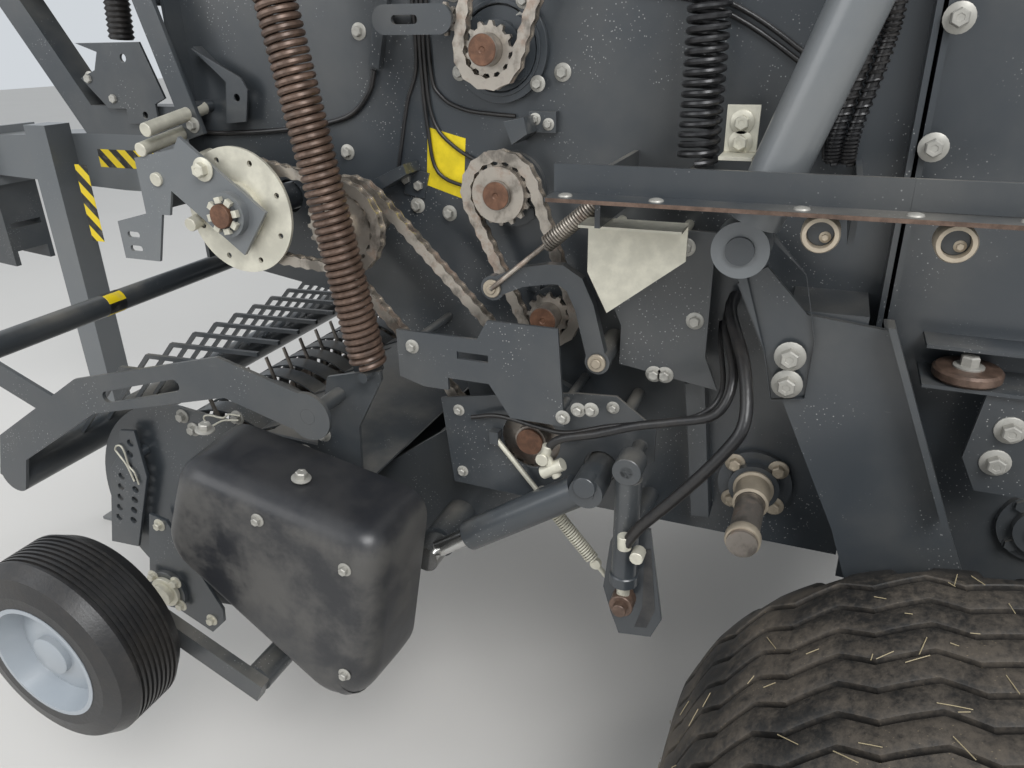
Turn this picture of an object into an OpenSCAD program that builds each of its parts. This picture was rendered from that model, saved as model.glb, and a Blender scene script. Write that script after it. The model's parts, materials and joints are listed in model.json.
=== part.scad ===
// Fixed-chamber round baler, parked on its wheels and its drawbar stand.
// +Z up, the drawbar points to -Y, the drive side is +X. The origin is on the ground under the middle.

/* [Bale chamber] */
// Clear width between the side walls
chamber_width = 1220; // [1180:5:1240]
// Thickness of a side wall
wall_t = 10; // [6:1:12]
// Chamber axis, along the machine
chamber_y = 1228; // [1210:1:1240]
// Chamber axis above the ground
chamber_z = 1560; // [1540:1:1580]
// Radius of the circle of roller axes
roller_circle = 706; // [696:1:716]
// Diameter of a press roller over its ribs
roller_d = 216; // [196:1:222]
// Diameter of a roller's shaft
roller_shaft_d = 50; // [40:1:55]
// Plane along the machine where the tailgate parts from the frame
split_y = 1175; // [1165:1:1185]
// Top edge of the side walls
wall_top = 2440; // [2425:1:2460]

/* [Wheels] */
// Road tyre diameter
tyre_d = 932; // [900:1:960]
// Road tyre width
tyre_w = 500; // [440:1:520]
// Distance between the road tyres' middles
track = 2050; // [2030:1:2080]
// Place of the axle along the machine
axle_y = 1400; // [1380:1:1440]
// Rim diameter at the bead
rim_d = 440; // [420:1:460]
// Gauge tyre diameter
gauge_d = 410; // [380:1:420]
// Gauge tyre width
gauge_w = 165; // [140:1:175]

/* [Drawbar] */
// Height of the drawbar's top face
drawbar_top = 1397; // [1380:1:1410]
// Height of the drawbar box at the frame
drawbar_h = 176; // [150:1:190]
// Height of the drawbar box at its head
drawbar_tip_h = 127; // [110:1:140]
// Width of the drawbar box
drawbar_w = 150; // [120:1:180]
// Place of the drawbar's head plate along the machine
head_y = -1587; // [-1620:1:-1560]
// Height of the hitch eye's middle
eye_z = 1010; // [980:1:1040]
// Bore of the hitch eye
eye_bore = 51; // [40:1:56]
// Reach from the head plate to the eye's axis
eye_reach = 458; // [430:1:480]
// Width of the stand's sleeve
sleeve_w = 90; // [80:1:100]
// Place of the stand along the machine
stand_y = -1225; // [-1260:1:-1200]

/* [Tailgate] */
// Hinge axis along the machine
hinge_y = 985; // [975:1:995]
// Hinge axis above the ground
hinge_z = 2400; // [2395:1:2405]
// Radius of the tailgate's outer skin
skin_r = 848; // [840:1:860]
// Thickness of the tailgate's skin
skin_t = 6; // [4:1:8]
// Diameter of a tailgate cylinder's barrel
lift_barrel_d = 75; // [68:1:80]
// Diameter of a tailgate cylinder's rod
lift_rod_d = 40; // [30:1:45]

/* [Pickup] */
// Axis of the feed rotor and pickup pivot, along the machine
rotor_y = 615; // [612:1:618]
// Axis of the feed rotor and pickup pivot, above the ground
rotor_z = 956; // [952:1:960]
// Radius over the feed rotor's tines
rotor_r = 112; // [100:1:114]
// Axis of the pickup reel, along the machine
reel_y = -190; // [-196:1:-184]
// Axis of the pickup reel, above the ground
reel_z = 660; // [655:1:665]
// Radius over the pickup tines
reel_r = 250; // [235:1:255]
// Radius over the guard bands
band_r = 195; // [185:1:200]
// Spacing of the guard bands
band_pitch = 72; // [70:1:80]
// Width of a guard band
band_w = 50; // [44:1:52]
// Number of guard bands
band_count = 21; // [15:2:21]
// Outer face of the pickup's side plates
cheek_x = 805; // [800:1:812]
// Diameter of a pickup lift cylinder's barrel
dip_barrel_d = 60; // [52:1:64]
// Diameter of a pickup lift cylinder's rod
dip_rod_d = 35; // [28:1:38]

/* [Drive] */
// Pitch of the roller drive chains
chain_pitch = 25.4; // [19:0.1:26]
// Depth of a chain link plate
link_h = 22; // [16:1:24]
// Thickness of a chain link plate
link_t = 3; // [2:0.5:4]
// Clear width between a chain's link plates
link_gap = 14; // [10:1:16]
// Diameter of the input clutch disc
disc_d = 234; // [220:1:250]

/* [Side doors] */
// Front edge of the side doors
door_front = -180; // [-185:1:-150]
// Rear edge of the side doors
door_rear = 1085; // [1060:1:1095]
// Lower edge of the side doors
door_low = 1290; // [1280:1:1320]
// Outer face of a closed side door
door_x = 980; // [965:1:990]
// Angle of the open left door
door_open = 138; // [136:1:140]

/* [Hidden] */
$fn = 48;

paint = [0.16, 0.18, 0.2];
paint_light = [0.3, 0.32, 0.34];
bare_steel = [0.55, 0.52, 0.48];
zinc = [0.75, 0.73, 0.65];
rust = [0.4, 0.25, 0.18];
rubber = [0.1, 0.1, 0.1];

wall_in = chamber_width / 2;
wall_out = wall_in + wall_t;
roller_first = -32;
roller_last = 287.4;
roller_gaps = 17;
frame_rollers = [0, 1, 2, 3, 4, 5, 6, 17];
gate_rollers = [7, 8, 9, 10, 11, 12, 13, 14, 15, 16];
roller_end_gap = 6;
fit = 0.3;
run = 6;

function roller_angle(k) = roller_first + k * (roller_last - roller_first) / roller_gaps;
function roller_at(k) = [chamber_y - roller_circle * cos(roller_angle(k)),
                         chamber_z + roller_circle * sin(roller_angle(k))];
function unit(a) = [cos(a), sin(a)];
function lerp(p, q, t) = p + (q - p) * t;

rotor_at = [rotor_y, rotor_z];
reel_at = [reel_y, reel_z];
hinge_at = [hinge_y, hinge_z];
axle_at = [axle_y, tyre_d / 2];

// Extrudes an outline drawn in (Y, Z) along X from x0
module slab(x0, t) translate([x0, 0, 0]) rotate([90, 0, 90]) linear_extrude(t) children();
// Round bar along X through p = [y, z]
module bar(p, x0, x1, d) translate([x0, p.x, p.y]) rotate([0, 90, 0]) cylinder(h = x1 - x0, d = d);
// Tube along X through p = [y, z]
module tube(p, x0, x1, d, bore) difference() {
  bar(p, x0, x1, d);
  bar(p, x0 - 1, x1 + 1, bore);
}
// Both sides of the machine
module sides() {
  children();
  mirror([1, 0, 0]) children();
}
// Strip with round ends from p to q
module strip(p, q, w) translate(p) rotate(atan2(q.y - p.y, q.x - p.x)) {
  circle(d = w);
  translate([norm(q - p), 0]) circle(d = w);
  translate([0, -w / 2]) square([norm(q - p), w]);
}
// Strip with square ends from p to q
module lath(p, q, w) translate(p) rotate(atan2(q.y - p.y, q.x - p.x))
  translate([0, -w / 2]) square([norm(q - p), w]);
// Bent strip of constant width through a list of points, with square ends
function side_of(p, q) = [p.y - q.y, q.x - p.x] / norm(q - p);
function mitre(points, i) =
  let (last = len(points) - 1, a = side_of(points[max(i - 1, 0)], points[max(i, 1)]),
       b = side_of(points[min(i, last - 1)], points[min(i + 1, last)]), m = (a + b) / norm(a + b))
  m / (m * a);
module path(points, w) {
  n = len(points);
  polygon(concat([for (i = [0 : n - 1]) points[i] + w / 2 * mitre(points, i)],
                 [for (i = [n - 1 : -1 : 0]) points[i] - w / 2 * mitre(points, i)]));
}
// Round bar between two points in space
module rod(p, q, d) translate(p) rotate([0, acos((q - p).z / norm(q - p)), atan2((q - p).y, (q - p).x)])
  cylinder(h = norm(q - p), d = d);
// Hexagon bolt head facing +X
module bolt(p, x0, size) translate([x0, p.x, p.y]) rotate([0, 90, 0]) {
  cylinder(h = size * 0.65, d = size * 1.8, $fn = 6);
  cylinder(h = size * 0.15, d = size * 2.1);
}

// Side walls of the frame
front_y = -190;
pivot_d = 130;
rotor_shaft_d = 60;
wall_outline = [[split_y, 760], [split_y, hinge_z - 5], [split_y - 55, wall_top], [640, wall_top], [130, 2240],
                [front_y, 1960],
                [front_y, 1215], [230, 1150], [430, 1010], [470, 830], [700, 760]];
flange_w = 42;
flange_t = 8;
flange_low = 950;
flange_high = 2165;
gate_gap = 6;

module wall_shape() difference() {
  polygon(wall_outline);
  for (k = frame_rollers) translate(roller_at(k)) circle(d = roller_shaft_d + 2 * run);
  translate(rotor_at) circle(d = rotor_shaft_d + 2 * run);
  translate(shaft_at) circle(d = shaft_d + 2 * run);
}

module side_wall() {
  slab(wall_in, wall_t) wall_shape();
  slab(wall_out, flange_w) translate([split_y - flange_t, flange_low]) square([flange_t, flange_high - flange_low]);
  slab(wall_out, flange_w) path([[-150, 1225], [-150, 1930], [150, 2185], [500, 2338]], flange_t);
  slab(wall_out, hinge_beam_w) translate([door_front, door_hinge.y - 50]) square([hinge_beam_end - door_front, 40]);
  slab(wall_out, hinge_beam_w) translate([door_front, 1900]) square([50, door_hinge.y - 1940]);
  for (y = knuckle_ys) {
    translate([wall_out, y + knuckle_l + 1, door_hinge.y - 11]) cube([door_hinge.x - 20 - wall_out, 18, 22]);
    translate([wall_out, y + knuckle_l + 1, door_hinge.y - 6.5]) cube([door_hinge.x + 6.5 - wall_out, 18, 13]);
    translate([door_hinge.x, y + knuckle_l + 2, door_hinge.y]) rotate([90, 0, 0]) cylinder(h = knuckle_l + 8, d = 12);
  }
  bar(hinge_at, wall_out, wall_out + gate_gap + arm_t + 10, hinge_pin_d);
  bar(relief_high + relief_dir * (20 + fit), wall_out, relief_x + 25, 40);
  difference() {
    bar(rotor_at, wall_out, wall_out + 40, pivot_d);
    bar(rotor_at, wall_out - 1, wall_out + 41, rotor_shaft_d + 2 * run);
  }
  for (z = [tension_z[0] - 15 - fit, tension_z[1] + 15 + fit]) bar([tension_y, z], wall_out, tension_x + 40, 30);
  bar(lift_foot, wall_out, lift_x - 32, 60);
  bar(lift_foot, lift_x - 32, lift_x + 36, lift_pin_d);
  bar(dip_foot, wall_out, dip_x - 32, 54);
  bar(dip_foot, dip_x - 32, dip_x + 32, dip_pin_d);
}

module side_wall_left() color(paint) side_wall();
module side_wall_right() color(paint) mirror([1, 0, 0]) side_wall();

// Cross members at the front and top of the frame
beam_back = -90;
module front_frame() color(paint) {
  slab(-wall_in, 2 * wall_in) translate([front_y, drawbar_top - drawbar_h]) square([beam_back - front_y, drawbar_h]);
  slab(-wall_in, 2 * wall_in) translate([front_y, 1840]) square([80, 80]);
  slab(-wall_in, 2 * wall_in) translate([700, 2370]) square([60, 60]);
  for (x = [-180, 180]) translate([x - 40, front_y + 10, drawbar_top]) cube([80, 60, 1840 - drawbar_top]);
  for (x = [-570, 570]) translate([x - 30, front_y, drawbar_top]) cube([60, 70, 1840 - drawbar_top]);
}

// Sheets that close the front and top between the walls
sheet_t = 4;
module front_panels() color(paint) {
  slab(-wall_in, 2 * wall_in) path([[-60, 1925], [160, 2215], [640, 2434]], sheet_t);
  slab(-wall_in, 2 * wall_in) translate([762, wall_top - 10]) square([split_y - 762 - 60, sheet_t]);
  slab(-wall_in, 2 * wall_in) path([[-80, 1925], [-80, 1600], [200, 1560]], sheet_t);
}

// Drawbar box, tapered towards its head, with two stays to the front beam
module drawbar() color(paint) {
  slab(-drawbar_w / 2, drawbar_w) polygon([[front_y, drawbar_top - drawbar_h], [front_y, drawbar_top],
    [-1000, drawbar_top], [head_y, drawbar_top - 25], [head_y, drawbar_top - 25 - drawbar_tip_h],
    [-1000, drawbar_top - drawbar_h]]);
  sides() translate([0, 0, drawbar_top - 130]) linear_extrude(80)
    polygon([[drawbar_w / 2, -720], [drawbar_w / 2, -840], [540, front_y], [440, front_y]]);
  slab(-120, 240) translate([head_y - 20, drawbar_top - 190]) square([20, 190]);
}

// Height-adjustable head plates and the tongue with its eye
cheek_t = 20;
eye_y = head_y - eye_reach;
module hitch_head() color(paint) difference() {
  union() {
    sides() slab(60, cheek_t) polygon([[head_y - 20, drawbar_top - 10], [head_y - 20, eye_z - 90],
      [head_y - 250, eye_z - 70], [head_y - 250, eye_z + 60], [head_y - 110, drawbar_top - 40]]);
    slab(-60, 120) translate([head_y - 60, eye_z + 60]) square([40, drawbar_top - eye_z - 110]);
    slab(-60, 120) translate([head_y - 250, eye_z - 40]) square([230, 80]);
    slab(-32, 64) translate([eye_y + 40, eye_z - 22]) square([eye_reach - 250 - 39, 44]);
    translate([0, eye_y, eye_z - 22]) cylinder(h = 44, d = 110);
  }
  translate([0, eye_y, eye_z - 23]) cylinder(h = 46, d = eye_bore);
}

// Main gearbox with its splined input stub
gearbox_w = 280;
gearbox_z = [1235, 1500];
stub_z = 1455;
stub_d = 34.9;
stub_len = 90;
shaft_at = [49, 1358];
shaft_d = 55;
module gearbox() color(paint) {
  slab(-gearbox_w / 2, gearbox_w) translate([beam_back, gearbox_z[0]]) square([240, gearbox_z[1] - gearbox_z[0]]);
  translate([0, beam_back, stub_z]) rotate([90, 0, 0]) cylinder(h = 40, d = 90);
  translate([0, beam_back - 40, stub_z]) rotate([90, 0, 0]) cylinder(h = stub_len, d = stub_d);
  bar(shaft_at, gearbox_w / 2, disc_x + 50, shaft_d);
}

// Stand on the drawbar's left side: sleeve and telescoping leg
sleeve_x = drawbar_w / 2;
sleeve_wall = 5;
sleeve_low = 560;
leg_gap = 5;
module stand_sleeve() color(paint_light) difference() {
  translate([sleeve_x, stand_y - sleeve_w / 2, sleeve_low]) cube([sleeve_w, sleeve_w, drawbar_top + 25 - sleeve_low]);
  translate([sleeve_x + sleeve_wall, stand_y - sleeve_w / 2 + sleeve_wall, sleeve_low - 1])
    cube([sleeve_w - 2 * sleeve_wall, sleeve_w - 2 * sleeve_wall, drawbar_top + 20 - sleeve_low]);
}

leg_w = sleeve_w - 2 * sleeve_wall - 2 * leg_gap;
leg_top = 880;
module stand_leg() color(paint_light) {
  translate([sleeve_x + sleeve_wall + leg_gap, stand_y - leg_w / 2, 12]) cube([leg_w, leg_w, leg_top - 12]);
  translate([sleeve_x + sleeve_w / 2 - 110, stand_y - 90, 0]) cube([220, 180, 12]);
  for (z = [sleeve_low + 20, leg_top - 60])
    translate([sleeve_x + sleeve_wall + fit, stand_y - sleeve_w / 2 + sleeve_wall + fit, z])
      cube([sleeve_w - 2 * sleeve_wall - 2 * fit, sleeve_w - 2 * sleeve_wall - 2 * fit, 30]);
}

// Axle beam, legs up to the walls and stub axles
leg_x1 = track / 2 - tyre_w / 2 - 20;
leg_x0 = leg_x1 - 55;
hub_face = track / 2 - 20;
module axle() color(paint) {
  translate([-leg_x1, axle_at.x - 55, axle_at.y - 55]) cube([2 * leg_x1, 110, 110]);
  sides() {
    slab(leg_x1 - 10, 10) polygon([[1000, 1330], [1065, 1262], [1180, 1250], [1420, 700], [axle_y + 90, axle_at.y],
      [axle_y + 40, axle_at.y - 60], [axle_y - 90, axle_at.y - 60], [axle_y - 150, 620], [1150, 900], [960, 1300]]);
    slab(wall_out, leg_x1 - 10 - wall_out) polygon([[1040, 1190], [1150, 1190], [1150, 1265], [1040, 1265]]);
    slab(leg_x0, leg_x1 - 10 - leg_x0) polygon([[1172, 1250], [1182, 1250], [axle_y + 12, 700], [axle_y + 2, 700]]);
    slab(leg_x1, 40) polygon([[1172, 1268], [1182, 1268], [1306, 965], [1296, 965]]);
    bar(axle_at, leg_x1, hub_face + 40, 70);
    bar(axle_at, leg_x1, leg_x1 + 14, 150);
  }
}

// Ribbed press roller along X
rib_count = 10;
rib_h = 8;
module press_roller(p, x_end) {
  slab(-wall_in + roller_end_gap, 2 * (wall_in - roller_end_gap)) translate(p) {
    circle(d = roller_d - 2 * rib_h);
    for (a = [0 : 360 / rib_count : 359]) rotate(a) translate([roller_d / 2 - rib_h - 3, -9]) square([rib_h + 3, 18]);
  }
  bar(p, -wall_out - 34, x_end, roller_shaft_d);
}

plane_roller = 672;
plane_rotor = 702;
plane_input = 742;
stub_end = 830;
roller_ends = [plane_roller + 36, plane_roller + 26, plane_roller + 30, plane_roller + 24, wall_out + 34,
               wall_out + 34, wall_out + 34];
module chamber_rollers() color(bare_steel) for (k = frame_rollers)
  press_roller(roller_at(k), k == 17 ? stub_end : roller_ends[k]);

// Flanged bearing housings on the walls
bearing_d = 132;
bearing_h = 12;
module bearing(p) difference() {
  union() {
    bar(p, wall_out, wall_out + bearing_h, bearing_d);
    bar(p, wall_out + bearing_h, wall_out + 28, 90);
    for (a = [45 : 90 : 359]) bolt(p + 54 * unit(a), wall_out + bearing_h, 12);
  }
  bar(p, wall_out - 1, wall_out + 29, roller_shaft_d + 2 * fit);
}
module chamber_bearings() color(bare_steel) sides() for (k = frame_rollers) bearing(roller_at(k));

// Curved floor under the feed rotor, between the walls
floor_gap = 14;
module feed_floor() color(paint) slab(-wall_in, 2 * wall_in) {
  translate(rotor_at) intersection() {
    difference() {
      circle(r = rotor_r + floor_gap + 6);
      circle(r = rotor_r + floor_gap);
    }
    polygon([[0, 0], [-220, -120], [-220, -300], [200, -300], [150, -180]]);
  }
  path([[352, 840], rotor_at + (rotor_r + floor_gap + 3) * unit(215)], 5);
  path([rotor_at + (rotor_r + floor_gap + 3) * unit(-60), [900, 840]], 5);
}

// Toothed wheel, a hair smaller than the chain that runs over it
module sprocket(p, x0, t, r, teeth, bore) slab(x0, t) difference() {
  translate(p) {
    circle(r = r - 7);
    for (i = [0 : teeth - 1]) rotate(i * 360 / teeth)
      polygon([[r - 9, -6], [r, -2.5], [r, 2.5], [r - 9, 6]]);
  }
  translate(p) circle(d = bore);
}

chain_in = link_gap / 2;
roller_in = 8;
tooth_gap = roller_in + 0.6;
input_r = 88;
transfer_r = 78;
rotor_sprocket_r = 84;
upper_r = 52;
upper_far_r = 70;
lower_r = 64;
splined_r = 50;
transfer_at = [251, 1334];
idler_r = 34;
idler_n = unit(belt_dir(roller_at(2), roller_at(3)) + belt_phi(roller_at(2), upper_r, roller_at(3), upper_far_r));
idler_at = lerp(roller_at(3) + upper_far_r * idler_n, roller_at(2) + upper_r * idler_n, 0.863) + idler_r * idler_n;

module sprockets() color(bare_steel) {
  sprocket(shaft_at, plane_input - 5, 10, input_r - tooth_gap, 20, shaft_d + 2 * fit);
  sprocket(transfer_at, plane_input - 5, 10, transfer_r - tooth_gap, 18, 50);
  sprocket(transfer_at, plane_rotor - 5, 10, transfer_r - tooth_gap, 18, 50);
  tube(transfer_at, wall_out, plane_input + 16, 70, 50.6);
  bar(transfer_at, wall_out, plane_input + 17, 50);
  sprocket(roller_at(0), plane_roller - 5, 10, splined_r - tooth_gap, 12, roller_shaft_d + 2 * fit);
  sprocket(roller_at(1), plane_roller - 5, 10, lower_r - tooth_gap, 16, roller_shaft_d + 2 * fit);
  tube(roller_at(1), plane_roller + 5, plane_roller + 18, 96, roller_shaft_d + 2 * fit);
  sprocket(roller_at(2), plane_roller - 5, 10, upper_r - tooth_gap, 13, roller_shaft_d + 2 * fit);
  sprocket(roller_at(3), plane_roller - 5, 10, upper_far_r - tooth_gap, 17, roller_shaft_d + 2 * fit);
  sprocket(idler_at, plane_roller - 5, 10, idler_r - tooth_gap, 9, 20);
  bar(idler_at, wall_out, plane_roller + 14, 20);
}

// Closed chain loop over two wheels: length, point and outward normal at arc length s
function belt_phi(a, ra, b, rb) = acos((ra - rb) / norm(b - a));
function belt_dir(a, b) = atan2(b.y - a.y, b.x - a.x);
function belt_straight(a, ra, b, rb) = sqrt(pow(norm(b - a), 2) - pow(ra - rb, 2));
function belt_arc_a(a, ra, b, rb) = ra * (360 - 2 * belt_phi(a, ra, b, rb)) * PI / 180;
function belt_arc_b(a, ra, b, rb) = rb * 2 * belt_phi(a, ra, b, rb) * PI / 180;
function belt_len(a, ra, b, rb) = belt_arc_a(a, ra, b, rb) + belt_arc_b(a, ra, b, rb)
  + 2 * belt_straight(a, ra, b, rb);
function belt_normal(a, ra, b, rb, s) =
  let (phi = belt_phi(a, ra, b, rb), d = belt_dir(a, b), la = belt_arc_a(a, ra, b, rb),
       st = belt_straight(a, ra, b, rb), lb = belt_arc_b(a, ra, b, rb))
  s < la ? unit(d + phi + s / ra * 180 / PI)
  : s < la + st ? unit(d - phi)
  : s < la + st + lb ? unit(d - phi + (s - la - st) / rb * 180 / PI)
  : unit(d + phi);
function belt_point(a, ra, b, rb, s) =
  let (la = belt_arc_a(a, ra, b, rb), st = belt_straight(a, ra, b, rb), lb = belt_arc_b(a, ra, b, rb),
       n = belt_normal(a, ra, b, rb, s))
  s < la ? a + ra * n
  : s < la + st ? lerp(a + ra * n, b + rb * n, (s - la) / st)
  : s < la + st + lb ? b + rb * n
  : lerp(b + rb * n, a + ra * n, (s - la - st - lb) / st);

module chain(x0, a, ra, b, rb) {
  len = belt_len(a, ra, b, rb);
  links = 2 * round(len / chain_pitch / 2);
  step = len / links;
  waist = 0.36;
  outer = [for (i = [0 : 2 * links - 1]) belt_point(a, ra, b, rb, i * step / 2)
            + belt_normal(a, ra, b, rb, i * step / 2) * link_h * (i % 2 == 0 ? 0.5 : waist)];
  inner = [for (i = [0 : 2 * links - 1]) belt_point(a, ra, b, rb, i * step / 2)
            - belt_normal(a, ra, b, rb, i * step / 2) * link_h * (i % 2 == 0 ? 0.5 : waist)];
  n = 2 * links;
  for (x = [x0 - chain_in - link_t, x0 + chain_in]) slab(x, link_t)
    polygon(concat(outer, inner), [[for (i = [0 : n - 1]) i], [for (i = [0 : n - 1]) 2 * n - 1 - i]]);
  for (i = [0 : links - 1]) bar(belt_point(a, ra, b, rb, i * step), x0 - chain_in, x0 + chain_in, 2 * roller_in);
}

module chain_input() color(bare_steel) chain(plane_input, shaft_at, input_r, transfer_at, transfer_r);
module chain_rotor() color(bare_steel) chain(plane_rotor, transfer_at, transfer_r, rotor_at, rotor_sprocket_r);
module chain_upper() color(bare_steel) chain(plane_roller, roller_at(2), upper_r, roller_at(3), upper_far_r);
module chain_lower() color(bare_steel) chain(plane_roller, roller_at(1), lower_r, roller_at(0), splined_r);

// Curved tensioner arm of the lower chain, and the slotted plate of the idler
arm_eye = [548, 1248];
arm_corner = [672, 1283];
arm_boss = [740, 1134];
module chain_tensioners() color(paint) {
  slab(plane_rotor + 20, 18) {
    path([arm_eye, [600, 1272], [650, 1282], arm_corner, [697, 1268], [715, 1230], arm_boss], 34);
    translate(arm_eye) circle(d = 44);
    translate(arm_boss) circle(d = 44);
  }
  bar(arm_boss, wall_out, plane_rotor + 20, 40);
  slab(plane_roller + 14, 8) difference() {
    strip([346, 1676], idler_at, 46);
    strip(lerp([346, 1676], idler_at, 0.2), lerp([346, 1676], idler_at, 0.55), 14);
  }
  bar([346, 1676], wall_out, plane_roller + 14, 24);
}

// Input clutch disc under its outboard bearing plate
disc_x = 766;
module clutch_disc() color(zinc) difference() {
  union() {
    bar(shaft_at, disc_x, disc_x + 6, disc_d);
    bar(shaft_at, disc_x + 6, disc_x + 18, 110);
  }
  bar(shaft_at, disc_x - 1, disc_x + 19, shaft_d + 2 * fit);
  for (a = [20 : 45 : 379]) bar(shaft_at + (disc_d / 2 - 20) * unit(a), disc_x - 1, disc_x + 7, 11);
}

// Outboard bearing plate of the input shaft and the folded brackets beside it
plate_x = disc_x + 20;
module drive_brackets() color(paint_light) {
  difference() {
    slab(plate_x, 8) lath([-75, 1450], [96, 1322], 104);
    bar(shaft_at, plate_x - 1, plate_x + 9, shaft_d + 2 * fit);
  }
  tube(shaft_at, plate_x + 8, plate_x + 24, 82, shaft_d + 2 * fit);
  translate([wall_out, -160, 1345]) cube([plate_x + 8 - wall_out, 6, 105]);
  slab(plate_x + 2, 6) polygon([[-160, 1345], [-160, 1450], [-60, 1470], [-100, 1345]]);
  slab(plate_x + 2, 6) difference() {
    polygon([[-240, 1325], [-240, 1250], [-150, 1250], [-120, 1345], [-160, 1345]]);
    strip([-215, 1300], [-195, 1300], 12);
    strip([-215, 1272], [-195, 1272], 12);
  }
}

// Rail along each side, an angle with its edge outwards
rail_z = 1442;
rail_top = 1482;
rail_front = 700;
rail_rear = 1165;
rail_x = 850;
rail_edge = 900;
module side_rails() color(paint) sides() {
  translate([rail_x, rail_front, rail_z]) cube([6, rail_rear - rail_front, rail_top - rail_z]);
  translate([rail_x, rail_front, rail_z - 6]) cube([rail_edge - rail_x, rail_rear - rail_front, 6]);
}

// Brackets from the walls out to the rail and the cylinders
module outer_brackets() color(paint) sides() {
  for (y = [760, 1100]) slab(wall_out, rail_x - wall_out) translate([y, rail_z - 50]) square([8, 80]);
}

// Shield over the rotor chain, with its step and slot
shield_x = 790;
module shield_plates() color(paint) {
  slab(shield_x, 6) difference() {
    polygon([[381, 1171], [381, 1080], [430, 1066], [480, 1066], [480, 1090], [560, 1090], [600, 1030], [700, 1030],
             [687, 1208], [560, 1208], [540, 1171]]);
    translate([500, 1130]) square([60, 14]);
  }
  for (p = [[685, 1050], [400, 1140]]) bar(p, wall_out, shield_x, 16);
}

// Folded galvanised deflector under the rail
module deflector() color(zinc) {
  slab(760, 4) polygon([[726, 1384], [881, 1384], [881, 1330], [760, 1234], [726, 1300]]);
  slab(760, 60) translate([726, 1384]) square([155, 4]);
  for (y = [745, 860]) bar([y, 1355], wall_out, 760, 16);
}

// Close-wound coil spring from p to q as a turned solid
module close_spring(p, q, coil_d, wire) {
  len = norm(q - p);
  turns = round(len / (wire * 1.15));
  pitch = len / turns;
  translate(p) rotate([0, acos((q - p).z / len), atan2((q - p).y, (q - p).x)])
    rotate_extrude() polygon(concat([[0, 0]],
      [for (i = [0 : turns - 1], c = [[-0.7, 0], [0, 0.3], [0, 0.7]]) [coil_d / 2 + c.x * wire, (i + c.y) * pitch]],
      [[coil_d / 2 - 0.7 * wire, len], [0, len]]));
}

relief_x = 800;
relief_low = [320, 1090];
relief_high = [170, 1960];
relief_dir = (relief_high - relief_low) / norm(relief_high - relief_low);
module relief_springs() color(rust) sides()
  close_spring([relief_x, relief_low.x, relief_low.y], [relief_x, relief_high.x, relief_high.y], 70, 11);

tension_x = 700;
tension_y = 877;
tension_z = [1464, 1900];
module tension_spring() color(rubber)
  close_spring([tension_x, tension_y, tension_z[0]], [tension_x, tension_y, tension_z[1]], 64, 9);

// Net roll box across the top front
net_low = 1800;
module net_box() color(paint) slab(-wall_out, 2 * wall_out)
  polygon([[front_y, 2240], [-330, 2300], [-650, 2270], [-760, 2150], [-760, 1880], [-710, net_low],
           [front_y, net_low]]);

// Bent arms that carry the net box
module front_arms() color(paint) sides() slab(540, 60) {
  path([[front_y, 1495], [-480, 1495], [-660, 1770]], 60);
  translate([-705, 1765]) square([100, net_low - 1765]);
}

// Tailgate: side walls, skin and hinge arms
gate_low = 770;
hinge_pin_d = 40;
arm_t = 14;
module gate_shape(r) intersection() {
  translate([chamber_y, chamber_z]) circle(r = r, $fn = 96);
  translate([split_y + gate_gap, 0]) square([2000, 3000]);
}
module tailgate_walls() color(paint) sides() {
  slab(wall_in, wall_t) difference() {
    gate_shape(skin_r);
    for (k = gate_rollers) translate(roller_at(k)) circle(d = roller_shaft_d + 2 * run);
  }
  slab(wall_out, flange_w) translate([split_y + gate_gap, flange_low]) square([flange_t, flange_high - flange_low]);
  slab(wall_out + gate_gap, arm_t) difference() {
    union() {
      path([hinge_at, [1150, 2392], [1240, 2335]], 80);
      translate(hinge_at) circle(d = 92);
    }
    translate(hinge_at) circle(d = hinge_pin_d + 2 * fit);
  }
  slab(wall_out, gate_gap) translate([1195, 2305]) square([70, 65]);
  bar(gate_pin, wall_out, lift_x - 34, 70);
}
module tailgate_skin() color(paint) slab(-wall_in, 2 * wall_in) difference() {
  gate_shape(skin_r);
  gate_shape(skin_r - skin_t);
  translate([split_y, 0]) square([25, 3000]);
  translate([split_y, 600]) square([260, 300]);
}
module tailgate_rollers() color(bare_steel) for (k = gate_rollers) press_roller(roller_at(k), wall_out + 34);
module tailgate_bearings() color(bare_steel) sides() for (k = gate_rollers) bearing(roller_at(k));
machine_rear = 2100;
module rear_lamps() color("red") sides() slab(420, 180) difference() {
  translate([chamber_y + skin_r - 20, 1500]) square([machine_rear - chamber_y - skin_r + 20, 100]);
  translate([chamber_y, chamber_z]) circle(r = (skin_r + fit) / cos(180 / 96), $fn = 96);
}

// Tailgate cylinders
lift_x = 800;
lift_foot = [965, 1370];
gate_pin = [1223, 2120];
lift_pin_d = 40;
lift_dir = (gate_pin - lift_foot) / norm(gate_pin - lift_foot);
lift_len = norm(gate_pin - lift_foot);
lift_barrel_end = 560;
lift_gland = 60;
function on_lift(s) = [lift_x, (lift_foot + lift_dir * s).x, (lift_foot + lift_dir * s).y];
module lift_barrel() color(paint_light) difference() {
  union() {
    rod(on_lift(38), on_lift(lift_barrel_end), lift_barrel_d);
    bar(lift_foot, lift_x - 30, lift_x + 30, 80);
  }
  rod(on_lift(90), on_lift(lift_barrel_end + 1), lift_rod_d + 2 * fit);
  bar(lift_foot, lift_x - 31, lift_x + 31, lift_pin_d + 2 * fit);
}
module lift_rod() color(zinc) {
  rod(on_lift(120), on_lift(lift_len - 30), lift_rod_d);
  bar(gate_pin, lift_x - 26, lift_x + 26, 76);
}
module lift_barrel_left() lift_barrel();
module lift_barrel_right() mirror([1, 0, 0]) lift_barrel();
module lift_rod_left() lift_rod();
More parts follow.
